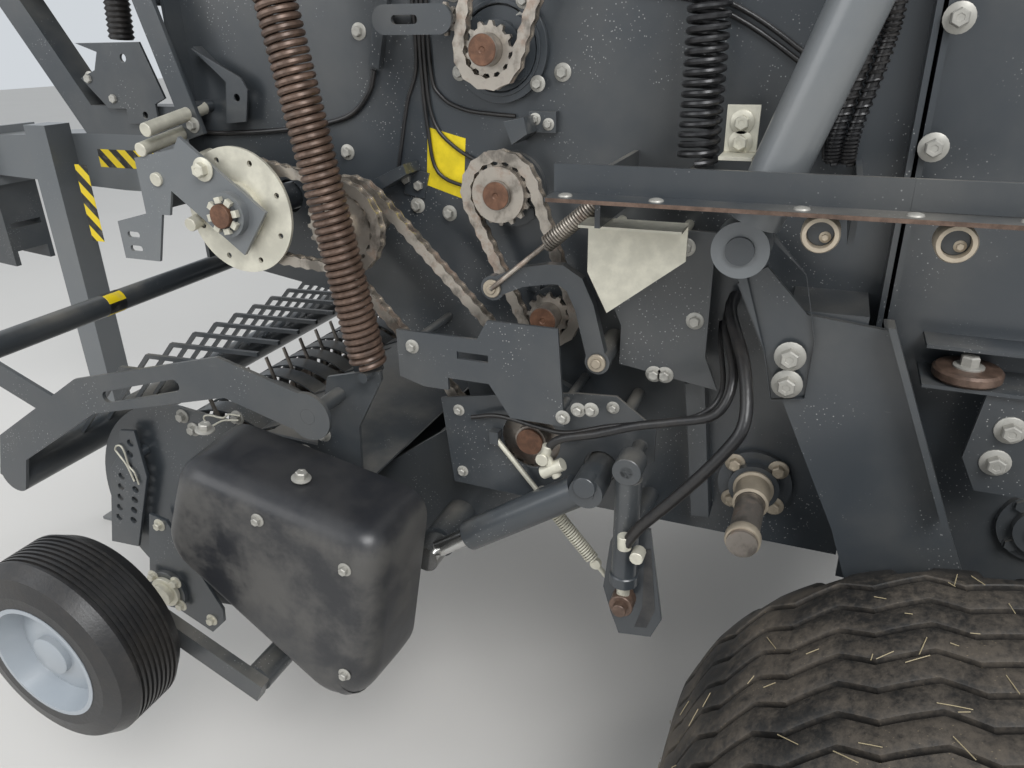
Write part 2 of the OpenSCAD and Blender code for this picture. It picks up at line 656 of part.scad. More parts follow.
module lift_rod_right() mirror([1, 0, 0]) lift_rod();

// Feed rotor with pairs of tines
rotor_stars = 12;
module feed_rotor() color(bare_steel) {
  bar(rotor_at, -wall_in + 8, wall_in - 8, 110);
  bar(rotor_at, -wall_out - 52, plane_rotor + 34, rotor_shaft_d);
  for (i = [0 : rotor_stars - 1]) slab(-550 + i * 1100 / (rotor_stars - 1) - 6, 12) translate(rotor_at)
    for (a = [0 : 90 : 359]) rotate(a + i * 15) polygon([[30, -40], [rotor_r, -8], [rotor_r, 8], [40, 30]]);
  sprocket(rotor_at, plane_rotor - 5, 10, rotor_sprocket_r - tooth_gap, 20, rotor_shaft_d - 4);
}

// Pickup frame: arms, cross beam and side plates
arm_x0 = 640;
arm_x1 = 655;
dip_x = 800;
dip_foot = [751, 926];
dip_eye = [422, 698];
dip_pin_d = 30;
dip_dir = (dip_eye - dip_foot) / norm(dip_eye - dip_foot);
dip_len = norm(dip_eye - dip_foot);
beam_at = [150, 640];
beam_w = 80;
guard_at = [248, 1025];
guard_x = 900;
cheek_plate = 8;
gauge_at = [-210, 565];
gauge_x0 = 1055;
reel_shaft_d = 45;
module cheek_shape() difference() {
  union() {
    translate(reel_at) circle(r = 268);
    polygon([[-150, 925], [60, 905], [180, 900], [225, 1058], [285, 1074], [345, 1087], [345, 1068], [285, 960],
             [260, 560], [150, 395], [50, 395], [-100, 420]]);
  }
  translate(reel_at) circle(d = reel_shaft_d + 2 * run);
}
module pickup_frame() color(paint) {
  slab(-cheek_x, 2 * cheek_x) translate(beam_at - [beam_w / 2, beam_w / 2]) square([beam_w, beam_w]);
  sides() {
    slab(arm_x0, arm_x1 - arm_x0) difference() {
      union() {
        translate(rotor_at) circle(d = 190);
        polygon([[560, 1020], [110, 690], [110, 600], [460, 640], [650, 880]]);
      }
      translate(rotor_at) circle(d = pivot_d + 2 * fit);
      translate(dip_eye) circle(d = dip_pin_d + 8);
    }
    slab(cheek_x - cheek_plate, cheek_plate) cheek_shape();
    difference() {
      bar(dip_eye, arm_x1, dip_x - 34, 70);
      bar(dip_eye, arm_x1 - 1, dip_x - 33, dip_pin_d + 8);
    }
    bar(guard_at, cheek_x, guard_x + 8, 30);
    bar(relief_low - relief_dir * (10 + fit), relief_x - 30, relief_x + 30, 20);
    for (p = [[70, 790], [225, 700]]) bar(p, cheek_x, cover_x0, 60);
    slab(1000, 25) lath([-210, 565], [120, 415], 50);
    bar([100, 430], cheek_x, 1000, 60);
    bar(gauge_at, 1025, gauge_x0 + 120, 30);
    tube(reel_at, cheek_x, cheek_x + 20, 110, reel_shaft_d + 2 * fit);
  }
}

// Guard bands round the reel with the trough behind them
band_t = 4;
trough_r = reel_r + 17;
module band_shape() {
  translate(reel_at) intersection() {
    difference() {
      circle(r = band_r);
      circle(r = band_r - band_t);
    }
    polygon([[0, 0], [200, 300], [-300, 300], [-300, -300], [60, -300]]);
  }
  path([reel_at + (band_r - band_t / 2) * unit(56.3), reel_at + trough_r * unit(46)], band_t);
  path([reel_at + (band_r - band_t / 2) * unit(-78.7), reel_at + trough_r * unit(-22)], band_t);
}
module pickup_bands() color(paint_light) {
  for (i = [0 : band_count - 1]) slab((i - (band_count - 1) / 2) * band_pitch - band_w / 2, band_w) band_shape();
  slab(-cheek_x + cheek_plate, 2 * (cheek_x - cheek_plate)) {
    path(concat([for (a = [-22 : 17 : 46]) reel_at + trough_r * unit(a)], [[150, 848], [294, 840]]), 5);
  }
  for (x = [-600, 0, 600]) slab(x - 20, 40) translate([reel_y + trough_r - 3, 645])
    square([beam_at.x - beam_w / 2 - reel_y - trough_r + 3, 30]);
}

// Large plastic covers over the pickup drive
cover_x0 = 845;
cover_x1 = 1020;
cover_round = 45;
cover_corners = [[10, 955], [455, 870], [385, 480], [300, 430], [-85, 735]];
module pickup_covers() color(rubber) sides() hull() for (c = cover_corners) {
  translate([cover_x1 - cover_round, (c * 0.86 + [215, 690] * 0.14).x, (c * 0.86 + [215, 690] * 0.14).y])
    sphere(r = cover_round, $fn = 24);
  translate([cover_x0, c.x * 0.93 + 215 * 0.07, c.y * 0.93 + 690 * 0.07]) rotate([0, 90, 0])
    cylinder(r = 20, h = 10, $fn = 24);
}

// Pickup reel: discs, tine bars and tines
tine_bars = 4;
bar_r = 118;
tine_w = 6;
module pickup_reel() color(bare_steel) {
  bar(reel_at, -cheek_x - 24, cheek_x + 24, reel_shaft_d);
  for (x = [-cheek_x + 30, -270, 262, cheek_x - 38]) bar(reel_at, x, x + 8, 2 * bar_r + 50);
  for (b = [0 : tine_bars - 1]) {
    bar(reel_at + bar_r * unit(b * 90), -cheek_x + 30, cheek_x - 30, 34);
    for (i = [0 : band_count - 2]) slab((i - (band_count - 2) / 2) * band_pitch - tine_w / 2, tine_w)
      translate(reel_at) rotate(b * 90) polygon([[bar_r, -4], [bar_r + 70, -4], [reel_r, 16], [reel_r - 3, 22],
        [bar_r + 68, 4], [bar_r, 4]]);
  }
}

// Windguard: arched side arms, front tube and hold-down rods
guard_points = [guard_at, [60, 1075], [-320, 975], [-600, 800], [-640, 700]];
guard_tube = [-650, 1022];
guard_low = [-640, 715];
guard_low_d = 90;
module windguard() color(paint) {
  sides() slab(guard_x, 8) difference() {
    union() {
      path(guard_points, 80);
      translate(guard_at) circle(d = 94);
      lath([-420, 930], guard_tube, 60);
    }
    translate(guard_at) circle(d = 30.6);
    strip([-250, 985], [-60, 1040], 26);
  }
  bar(guard_tube, -guard_x, guard_x, 57);
  bar(guard_low, -guard_x, guard_x, guard_low_d);
}
// Hold-down rods of the windguard, each on its low tube
rod_bend = [-420, 950];
rod_root = guard_low + (guard_low_d / 2 + fit) * (rod_bend - guard_low) / norm(rod_bend - guard_low);
module windguard_rods() color(bare_steel) for (i = [0 : 18])
  slab((i - 9) * 80 - 5, 10) path([rod_root, rod_bend, [-150, 960]], 10);

// Pickup lift cylinders
function on_dip(s) = [dip_x, (dip_foot + dip_dir * s).x, (dip_foot + dip_dir * s).y];
dip_barrel_end = 290;
module dip_barrel() color(paint) difference() {
  union() {
    rod(on_dip(28), on_dip(dip_barrel_end), dip_barrel_d);
    bar(dip_foot, dip_x - 30, dip_x + 30, 60);
  }
  rod(on_dip(40), on_dip(dip_barrel_end + 1), dip_rod_d + 2 * fit);
  bar(dip_foot, dip_x - 31, dip_x + 31, dip_pin_d + 2 * fit);
}
module dip_rod() color(zinc) {
  rod(on_dip(100), on_dip(dip_len - 20), dip_rod_d);
  bar(dip_eye, dip_x - 28, dip_x + 28, 56);
  bar(dip_eye, arm_x1 + 20, dip_x - 28, dip_pin_d - 2);
}
module dip_barrel_left() dip_barrel();
module dip_barrel_right() mirror([1, 0, 0]) dip_barrel();
module dip_rod_left() dip_rod();
module dip_rod_right() mirror([1, 0, 0]) dip_rod();

// Gauge wheel with its galvanised rim
module gauge_wheel() translate([gauge_x0, gauge_at.x, gauge_at.y]) rotate([0, 90, 0]) rotate_extrude()
  difference() {
    polygon([[30, 55], [30, 110], [105, 90], [118, 0], [150, -0], [gauge_d / 2 - 18, 8], [gauge_d / 2, 35],
             [gauge_d / 2, gauge_w - 35], [gauge_d / 2 - 18, gauge_w - 8], [150, gauge_w], [118, gauge_w],
             [105, 118], [60, 135], [15.5, 135], [15.5, 55]]);
    for (i = [0 : 7]) translate([gauge_d / 2 - 5, 40 + i * (gauge_w - 86) / 7]) square([6, 6]);
  }
module gauge_wheel_left() color(rubber) gauge_wheel();
module gauge_wheel_right() color(rubber) mirror([1, 0, 0]) gauge_wheel();

// Road tyre with circumferential grooves and shoulder lugs
lug_count = 24;
tread_h = 16;
bead_w = 400;
module tyre() {
  x0 = track / 2 - tyre_w / 2;
  translate([x0, axle_at.x, axle_at.y]) rotate([0, 90, 0]) {
    rotate_extrude() difference() {
      polygon([[rim_d / 2 - 8, tyre_w / 2 - bead_w / 2], [rim_d / 2 - 8, tyre_w / 2 + bead_w / 2],
               [rim_d / 2 + 30, tyre_w - 30], [rim_d / 2 + 120, tyre_w], [tyre_d / 2 - 60, tyre_w - 6],
               [tyre_d / 2 - 22, tyre_w - 34], [tyre_d / 2, tyre_w - 80], [tyre_d / 2, 80], [tyre_d / 2 - 22, 34],
               [tyre_d / 2 - 60, 6], [rim_d / 2 + 120, 0], [rim_d / 2 + 30, 30]]);
      for (i = [0 : 6]) translate([tyre_d / 2 - tread_h, 92 + i * (tyre_w - 194) / 6]) square([tread_h + 1, 10]);
    }
    for (i = [0 : lug_count - 1], z = [6, tyre_w - 66]) rotate(i * 360 / lug_count)
      translate([tyre_d / 2 - 50, -38, z]) cube([42, 76, 60]);
  }
}
module tyre_left() color(rubber) tyre();
module tyre_right() color(rubber) mirror([1, 0, 0]) tyre();

// Steel rim and hub
module rim() {
  x0 = track / 2 - bead_w / 2;
  translate([x0, axle_at.x, axle_at.y]) rotate([0, 90, 0]) difference() {
    rotate_extrude() polygon([[rim_d / 2 - 8.3, 0], [rim_d / 2 - 8.3, bead_w], [rim_d / 2 - 16, bead_w],
      [rim_d / 2 - 30, bead_w - 40], [rim_d / 2 - 30, 240], [150, 240], [110, 225], [80, 225], [80, 290], [40, 300],
      [0, 300], [0, 236], [35.3, 236], [35.3, 150], [80, 150], [80, 215], [115, 215], [150, 228],
      [rim_d / 2 - 40, 228], [rim_d / 2 - 30, 40], [rim_d / 2 - 16, 0]]);
    for (a = [0 : 60 : 359]) rotate(a) translate([100, 0, 200]) cylinder(h = 60, d = 18);
  }
}
module rim_left() color(paint_light) rim();
module rim_right() color(paint_light) mirror([1, 0, 0]) rim();

// Side doors, hinged along their top edge
door_hinge = [720, 2400];
door_t = 4;
hinge_beam_w = 60;
hinge_beam_end = 920;
knuckle_ys = [-100, 780];
knuckle_l = 80;
module door_panel() {
  translate([0, door_rear, 0]) rotate([90, 0, 0]) linear_extrude(door_rear - door_front)
    path([door_hinge + [10.6, 0], [900, 2270], [door_x - 2, 2150], [door_x - 2, door_low]], door_t);
  for (y = knuckle_ys) translate([door_hinge.x, y, door_hinge.y]) rotate([-90, 0, 0]) difference() {
    cylinder(h = knuckle_l, d = 22);
    translate([0, 0, -1]) cylinder(h = knuckle_l + 2, d = 12 + 2 * fit);
  }
}
module door_left() color(paint) translate([door_hinge.x, 0, door_hinge.y]) rotate([0, -door_open, 0])
  translate([-door_hinge.x, 0, -door_hinge.y]) door_panel();
module door_right() color(paint) mirror([1, 0, 0]) door_panel();

side_wall_left();
side_wall_right();
front_frame();
front_panels();
drawbar();
hitch_head();
gearbox();
stand_sleeve();
stand_leg();
axle();
chamber_rollers();
chamber_bearings();
feed_floor();
sprockets();
chain_input();
chain_rotor();
chain_upper();
chain_lower();
chain_tensioners();
clutch_disc();
drive_brackets();
side_rails();
outer_brackets();
shield_plates();
deflector();
relief_springs();
tension_spring();
net_box();
front_arms();
tailgate_walls();
tailgate_skin();
tailgate_rollers();
tailgate_bearings();
rear_lamps();
lift_barrel_left();
lift_barrel_right();
lift_rod_left();
lift_rod_right();
feed_rotor();
pickup_frame();
pickup_bands();
pickup_covers();
pickup_reel();
windguard();
dip_barrel_left();
dip_barrel_right();
dip_rod_left();
dip_rod_right();
gauge_wheel_left();
gauge_wheel_right();
tyre_left();
tyre_right();
rim_left();
rim_right();
door_left();
door_right();
windguard_rods();
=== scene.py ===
import json
import math
import random

import bmesh
import bpy
from mathutils import Matrix, Vector


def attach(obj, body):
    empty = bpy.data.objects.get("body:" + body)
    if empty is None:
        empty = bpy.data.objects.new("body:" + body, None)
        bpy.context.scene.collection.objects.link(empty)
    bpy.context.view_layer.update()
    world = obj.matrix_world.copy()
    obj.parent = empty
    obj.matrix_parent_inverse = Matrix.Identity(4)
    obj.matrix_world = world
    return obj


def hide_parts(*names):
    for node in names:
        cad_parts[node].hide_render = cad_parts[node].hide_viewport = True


bl_info = {
    "name": "Round baler looks",
    "version": (1, 0, 0),
    "blender": (4, 5, 0),
    "location": "View3D > Sidebar > Baler",
    "description": "Dresses the packed round baler in paint, rust, zinc and rubber",
    "category": "Object",
}

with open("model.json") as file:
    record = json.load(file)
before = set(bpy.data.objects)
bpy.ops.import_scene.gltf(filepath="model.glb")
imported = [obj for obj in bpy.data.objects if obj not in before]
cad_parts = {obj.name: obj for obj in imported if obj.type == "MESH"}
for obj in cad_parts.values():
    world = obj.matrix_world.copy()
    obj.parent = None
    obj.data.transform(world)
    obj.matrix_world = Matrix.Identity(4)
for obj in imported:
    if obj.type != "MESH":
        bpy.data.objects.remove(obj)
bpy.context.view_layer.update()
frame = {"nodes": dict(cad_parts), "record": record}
MM = 0.001
SIDES = (("left", 1), ("right", -1))

# Left side, in mm: the wall's outer face, the rail, and places (y, z) of shafts, pins and springs
WALL = 620
RAIL_X = 850
RAIL_LOW = 1442
RAIL_REAR = (1165, 1330)
RAIL_CUPS = (1066, 1219)
CHAMBER_AT = (1228, 1560)
ROLLER_CIRCLE = 706
ROLLER_SPAN = 319.4
ROLLER_STEPS = 17
ROLLER_LOWEST = 32
SHAFT_AT = (49, 1358)
ROTOR_AT = (615, 956)
ARM_ENDS = ((548, 1248), (740, 1134))
FLOOR_PIN = (822, 985)
SLOT_PIN = (822, 698)
REEL_BEARING = (-275, 446)
RELIEF_LOW = Vector((320, 1090))
RELIEF_HIGH = Vector((170, 1960))
RELIEF_WAY = (RELIEF_HIGH - RELIEF_LOW).normalized()

# Bolt heads as a share of the size in their row, and a sticker's thickness and gap in mm
HEAD_SHARE = 0.85
STICKER = 0.6
STICKER_OFF = 0.2

# Springs and wheels, in metres: X, (x, y) of the tension spring, (y, z) of the road wheels' axle
RELIEF_X = 0.8
RELIEF_RADIUS = 0.035
TENSION_AT = (0.7, 0.877)
TENSION_RADIUS = 0.032
TENSION_TURNS = 30
POINTS_PER_TURN = 20
WHEEL_X = 1.025
WHEEL_AT = (1.4, 0.466)
WHEEL_R = 0.466
GAUGE_AT = (1.055, -0.21, 0.565)

# The camera, in metres and degrees, and its focal length in pixels for the photograph's width in pixels
CAMERA_AT = (1.925, 1.065, 1.65)
CAMERA_TURN = -22.2
CAMERA_DIP = 24.4
CAMERA_LEAN = -1.1
FOCAL = 770.0
PHOTO_WIDTH = 1024.0
SENSOR = 36.0

SHARP_ANGLE = 38
ANTHRACITE = (0.036, 0.042, 0.048)
GREY_PAINT = (0.125, 0.135, 0.142)
ZINC = (0.52, 0.5, 0.42)
DUST = (0.31, 0.28, 0.23)
RUST = (0.23, 0.1, 0.05)


# Finishes

def overload(operation):
    """The method for one operator of a wire, and its reflected form."""
    def plain(self, other):
        return self.finish.node("ShaderNodeMath", {"operation": operation}, {0: self, 1: other})

    def reflected(self, other):
        return self.finish.node("ShaderNodeMath", {"operation": operation}, {0: other, 1: self})

    return plain, reflected


class Wire:
    """One socket of a finish. Arithmetic on it adds Math nodes."""
    __add__, __radd__ = overload("ADD")
    __sub__, __rsub__ = overload("SUBTRACT")
    __mul__, __rmul__ = overload("MULTIPLY")
    __truediv__, __rtruediv__ = overload("DIVIDE")
    __mod__, __rmod__ = overload("FLOORED_MODULO")
    __pow__, __rpow__ = overload("POWER")
    __gt__, __lt__ = overload("GREATER_THAN")

    def __init__(self, finish, socket):
        self.finish = finish
        self.socket = socket

    def __abs__(self):
        return self.finish.node("ShaderNodeMath", {"operation": "ABSOLUTE"}, {0: self})

    def ramp(self, low, high):
        """0 below low, 1 above high and smooth between."""
        return self.finish.node("ShaderNodeMapRange", {"interpolation_type": "SMOOTHSTEP"},
                                {0: self, 1: low, 2: high, 3: 0.0, 4: 1.0})


class Finish:
    """A procedural material on one Principled shader."""

    def __init__(self, name):
        self.material = bpy.data.materials.new(name)
        self.material.use_nodes = True
        self.nodes = self.material.node_tree.nodes
        self.links = self.material.node_tree.links
        self.nodes.clear()
        self.surface = self.nodes.new("ShaderNodeBsdfPrincipled")
        output = self.nodes.new("ShaderNodeOutputMaterial")
        self.links.new(self.surface.outputs[0], output.inputs[0])
        self.place = self.node("ShaderNodeTexCoord", out="Object")
        self.facing = self.part(self.node("ShaderNodeTexCoord", out="Normal"), "Z")

    def node(self, kind, settings=None, sockets=None, out=0):
        """Adds a node, applies its settings, then feeds its sockets by number or name."""
        node = self.nodes.new(kind)
        for key, value in (settings or {}).items():
            setattr(node, key, value)
        for key, value in (sockets or {}).items():
            self.feed(node.inputs[key], value)
        return Wire(self, node.outputs[out])

    def feed(self, socket, value):
        """Links a wire to a socket, or sets a plain value on it."""
        if isinstance(value, Wire):
            self.links.new(value.socket, socket)
        elif isinstance(value, tuple) and len(value) == 3 and socket.type == "RGBA":
            socket.default_value = (*value, 1.0)
        else:
            socket.default_value = value

    def mix(self, factor, first, second):
        """Goes from the first colour to the second by factor."""
        return self.node("ShaderNodeMix", {"data_type": "RGBA"}, {0: factor, 6: first, 7: second}, out=2)

    def part(self, vector, axis):
        """One axis of a vector."""
        return self.node("ShaderNodeSeparateXYZ", sockets={0: vector}, out=axis)

    def stretched(self, scale):
        """The place on the surface, scaled by axis."""
        return self.node("ShaderNodeVectorMath", {"operation": "MULTIPLY"}, {0: self.place, 1: scale})

    def noise(self, scale, detail=4.0, roughness=0.55, place=None):
        """Cloudy noise between 0 and 1."""
        return self.node("ShaderNodeTexNoise", None, {"Vector": place or self.place, "Scale": scale,
                                                      "Detail": detail, "Roughness": roughness})

    def cells(self, scale, place=None):
        """Distance to the nearest of scattered points."""
        return self.node("ShaderNodeTexVoronoi", None, {"Vector": place or self.place, "Scale": scale},
                         out="Distance")

    def speckle(self, scale, size, amount):
        """Small round spots, more of them where a broad noise is high."""
        spot = 1.0 - self.cells(scale).ramp(size * 0.5, size)
        return spot * self.noise(7.0, 3.0).ramp(0.62 - amount * 0.2, 0.74 - amount * 0.2)

    def bump(self, height, distance, strength):
        """A bumped normal from a height."""
        return self.node("ShaderNodeBump", None,
                         {"Height": height, "Distance": distance, "Strength": strength})

    def set(self, **values):
        """Sets or links the shader's own sockets, with words joined by underscores."""
        for key, value in values.items():
            self.feed(self.surface.inputs[key.replace("_", " ").title()], value)
        return self.material


def painted(name, colour, dust, wet, worn=0.2):
    """Semi-gloss paint with road dust on what faces up, dried drops and rubbed streaks."""
    f = Finish(name)
    patches = f.noise(3.1, 6.0, 0.6)
    streaks = f.noise(9.0, 4.0, 0.6, f.stretched((1.0, 1.0, 0.22)))
    grain = f.noise(420.0, 2.0)
    up = f.facing.ramp(0.25, 0.95)
    film = (up * 0.75 + 0.22) * patches.ramp(0.38, 0.72) * dust
    drops = f.speckle(150.0, 0.2, wet) * wet
    drips = streaks.ramp(0.55, 0.8) * 0.3 * wet
    rubbed = f.noise(34.0, 8.0, 0.7, f.stretched((1.0, 0.35, 1.6))).ramp(0.66, 0.74) * worn
    base = f.mix(film, colour, DUST)
    base = f.mix(drips, base, tuple(c * 0.55 for c in colour))
    base = f.mix(rubbed, base, (0.24, 0.23, 0.22))
    base = f.mix(drops, base, (0.42, 0.42, 0.41))
    return f.set(base_color=base, roughness=film * 0.35 + grain * 0.1 + patches * 0.12 + 0.23,
                 coat_weight=(1.0 - film) * 0.35, coat_roughness=0.18,
                 normal=f.bump(grain * 0.4 + drops * 0.8, 0.0006, 0.35))


def zinced(name, colour=ZINC, rust=0.3):
    """Dull galvanised steel with cloudy spangle and rust specks."""
    f = Finish(name)
    cloud = f.noise(26.0, 5.0, 0.6)
    spangle = f.cells(130.0)
    specks = f.noise(70.0, 6.0, 0.7).ramp(0.66, 0.78) * rust
    base = f.mix(cloud.ramp(0.35, 0.75), colour, tuple(min(1.0, c * 1.3) for c in colour))
    base = f.mix(specks, base, RUST)
    return f.set(base_color=base, metallic=0.45 - specks * 0.4,
                 roughness=spangle * 0.2 + cloud * 0.2 + 0.28, normal=f.bump(cloud, 0.0008, 0.3))


def bare_steel(name, colour=(0.3, 0.27, 0.24), rust=0.45, grease=0.5):
    """Worn steel with rust in patches and dark grease."""
    f = Finish(name)
    cloud = f.noise(38.0, 6.0, 0.65)
    broad = f.noise(9.0, 4.0, 0.6)
    rusty = (cloud * 0.6 + broad * 0.4).ramp(0.5, 0.62) * rust
    black = f.noise(22.0, 5.0, 0.6, f.stretched((1.3, 1.0, 0.8))).ramp(0.48, 0.66) * grease
    base = f.mix(rusty, colour, (0.2, 0.105, 0.062))
    base = f.mix(black, base, (0.03, 0.026, 0.022))
    return f.set(base_color=base, metallic=0.75 - rusty * 0.6, roughness=cloud * 0.25 + 0.24 + rusty * 0.2,
                 normal=f.bump(cloud, 0.001, 0.4))


def spring_rust(name, colour, gloss):
    """A spring's wire, evenly rusted or black, with worn highlights."""
    f = Finish(name)
    cloud = f.noise(55.0, 6.0, 0.7)
    broad = f.noise(8.0, 3.0)
    base = f.mix(cloud.ramp(0.35, 0.7), colour, tuple(c * 1.9 for c in colour))
    base = f.mix(broad.ramp(0.55, 0.75) * 0.4, base, tuple(c * 0.45 for c in colour))
    return f.set(base_color=base, metallic=0.35, roughness=cloud * 0.3 + gloss,
                 normal=f.bump(cloud, 0.0008, 0.35))


def rubber(name, colour, dust, gloss=0.5, tread=False):
    """Tyre or hose rubber with dried mud in patches. A tread's grooves stay dark."""
    f = Finish(name)
    broad = f.noise(6.0, 6.0, 0.65)
    fine = f.noise(90.0, 5.0, 0.7)
    chaff = f.cells(240.0, f.stretched((1.0, 0.35, 1.0))).ramp(0.05, 0.14)
    mud = (broad * 0.65 + fine * 0.35).ramp(0.4, 0.62) * dust
    if tread:
        y = f.part(f.place, "Y") - WHEEL_AT[0]
        z = f.part(f.place, "Z") - WHEEL_AT[1]
        reach = (y ** 2.0 + z ** 2.0) ** 0.5
        mud = mud * (reach.ramp(WHEEL_R - 0.014, WHEEL_R - 0.003) * 0.85 + 0.15)
    base = f.mix(mud, colour, (0.12, 0.098, 0.075))
    base = f.mix((1.0 - chaff) * broad.ramp(0.5, 0.62) * dust, base, (0.42, 0.33, 0.2))
    return f.set(base_color=base, roughness=mud * 0.3 + fine * 0.15 + gloss,
                 normal=f.bump(fine + mud, 0.0012, 0.4))


def plastic(name, colour, haze):
    """Moulded plastic with a fine grain, dust haze and rubbed edges."""
    f = Finish(name)
    grain = f.noise(750.0, 2.0)
    cloud = f.noise(7.0, 6.0, 0.65)
    side = 1.0 - abs(f.facing).ramp(0.1, 0.7)
    film = cloud.ramp(0.36, 0.62) * haze * (side * 0.75 + 0.25)
    scuffs = f.noise(60.0, 8.0, 0.75, f.stretched((1.0, 0.5, 2.0))).ramp(0.68, 0.76) * 0.5
    base = f.mix(film, colour, (0.105, 0.1, 0.092))
    base = f.mix(scuffs, base, (0.2, 0.2, 0.21))
    return f.set(base_color=base, roughness=film * 0.35 + grain * 0.1 + 0.26,
                 normal=f.bump(grain, 0.0004, 0.35))


def polished(name):
    """Chromed rod with a film of oil."""
    f = Finish(name)
    cloud = f.noise(30.0, 4.0)
    base = f.mix(cloud.ramp(0.5, 0.8) * 0.4, (0.55, 0.55, 0.54), (0.25, 0.22, 0.18))
    return f.set(base_color=base, metallic=0.95, roughness=cloud * 0.15 + 0.12)


def lens(name, colour):
    """Clear coloured lamp glass with a moulded grid."""
    f = Finish(name)
    grid = f.cells(90.0)
    base = f.mix(grid.ramp(0.1, 0.5), colour, tuple(c * 0.5 for c in colour))
    return f.set(base_color=base, roughness=0.1 + grid * 0.1, coat_weight=0.6,
                 normal=f.bump(grid, 0.001, 0.4))


def striped(name, first, second, width):
    """Slanted warning stripes, a little dusty."""
    f = Finish(name)
    slant = f.part(f.place, "Y") + f.part(f.place, "Z")
    stripe = (slant / (2 * width) % 1.0) > 0.5
    cloud = f.noise(40.0, 4.0)
    base = f.mix(stripe, first, second)
    base = f.mix(cloud.ramp(0.5, 0.8) * 0.3, base, DUST)
    return f.set(base_color=base, roughness=cloud * 0.2 + 0.35)


FINISHES = {}


def finish(name):
    """The shared finishes by name, each made when first asked for."""
    makers = {
        "paint_dark": lambda n: painted(n, ANTHRACITE, dust=0.45, wet=0.6),
        "paint_grey": lambda n: painted(n, GREY_PAINT, dust=0.45, wet=0.3),
        "galvanised": zinced,
        "bare_steel": bare_steel,
        "chain_steel": lambda n: bare_steel(n, (0.42, 0.38, 0.33), rust=0.5, grease=0.6),
        "rusty_steel": lambda n: spring_rust(n, (0.085, 0.056, 0.042), 0.24),
        "orange_rust": lambda n: spring_rust(n, (0.1, 0.05, 0.03), 0.4),
        "bolt_zinc": lambda n: zinced(n, (0.34, 0.33, 0.3), rust=0.5),
        "worn_zinc": lambda n: zinced(n, (0.36, 0.31, 0.24), rust=0.9),
        "hazard": lambda n: striped(n, (0.75, 0.56, 0.01), (0.012, 0.012, 0.012), 0.034),
        "ring_sticker": lambda n: striped(n, (0.55, 0.02, 0.02), (0.7, 0.7, 0.7), 0.03),
        "white_plate": lambda n: painted(n, (0.62, 0.63, 0.62), dust=0.4, wet=0.1, worn=0.1),
        "black_spring": lambda n: spring_rust(n, (0.02, 0.02, 0.021), 0.18),
        "chrome_rod": polished,
        "black_plastic": lambda n: plastic(n, (0.018, 0.019, 0.022), haze=0.65),
        "red_lens": lambda n: lens(n, (0.5, 0.02, 0.015)),
        "tyre_rubber": lambda n: rubber(n, (0.012, 0.0115, 0.011), dust=0.62, tread=True),
        "gauge_rubber": lambda n: rubber(n, (0.015, 0.015, 0.016), dust=0.12, gloss=0.3),
        "hose_rubber": lambda n: rubber(n, (0.012, 0.012, 0.013), dust=0.1, gloss=0.25),
        "straw": lambda n: rubber(n, (0.34, 0.28, 0.17), dust=0.1),
        "label_yellow": lambda n: zinced(n, (0.72, 0.56, 0.02), rust=0.1),
        "rim_paint": lambda n: painted(n, (0.3, 0.33, 0.36), dust=0.3, wet=0.1, worn=0.1),
    }
    if name not in FINISHES:
        FINISHES[name] = makers[name](name)
    return FINISHES[name]


# Shapes

def add_piece(name, bm, look, body, replaces=()):
    """Turns a bmesh into a finished piece that rides on a body."""
    mesh = bpy.data.meshes.new(name)
    bmesh.ops.recalc_face_normals(bm, faces=bm.faces)
    bm.to_mesh(mesh)
    bm.free()
    obj = bpy.data.objects.new(name, mesh)
    bpy.context.scene.collection.objects.link(obj)
    mesh.materials.append(finish(look))
    mesh.shade_smooth()
    mesh.set_sharp_from_angle(angle=math.radians(SHARP_ANGLE))
    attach(obj, body)
    if replaces:
        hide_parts(*replaces)


def full_turn(steps):
    """Angles at even steps round a circle."""
    return [2 * math.pi * i / steps for i in range(steps)]


def circle(y, z, d, steps):
    """Points (y, z) round a circle."""
    return [(y + d / 2 * math.cos(a), z + d / 2 * math.sin(a)) for a in full_turn(steps)]


def turned(bm, rings, at, axis, steps):
    """Adds a solid of revolution. rings holds (distance along axis, radius)."""
    turn = Vector((0, 0, 1)).rotation_difference(Vector(axis)).to_matrix()
    loops = []
    for along, radius in rings:
        angles = full_turn(steps) if radius else [0]
        spots = [(radius * math.cos(a), radius * math.sin(a), along) for a in angles]
        loops.append([bm.verts.new(Vector(at) + turn @ Vector(spot)) for spot in spots])
    bridge(bm, loops, steps)


def bridge(bm, loops, steps):
    """Joins neighbouring rings of vertices. A ring of one vertex is a pole."""
    for one, two in zip(loops, loops[1:]):
        for i in range(steps):
            j = (i + 1) % steps
            if len(one) == 1 and len(two) > 1:
                bm.faces.new((one[0], two[i], two[j]))
            elif len(two) == 1 and len(one) > 1:
                bm.faces.new((one[i], two[0], one[j]))
            elif len(one) > 1:
                bm.faces.new((one[i], two[i], two[j], one[j]))


def wire(bm, points, radius, steps=8):
    """Adds a round wire through a list of points, without twist."""
    points = [Vector(p) for p in points]
    side = None
    loops = []
    for before, point, after in zip([points[0], *points], points, [*points[1:], points[-1]]):
        way = (after - before).normalized()
        if side is None:
            side = way.orthogonal().normalized()
        side = (side - way * side.dot(way)).normalized()
        other = way.cross(side)
        loops.append([bm.verts.new(point + radius * (math.cos(a) * side + math.sin(a) * other))
                      for a in full_turn(steps)])
    bridge(bm, loops, steps)
    bm.faces.new(loops[0])
    bm.faces.new(loops[-1])


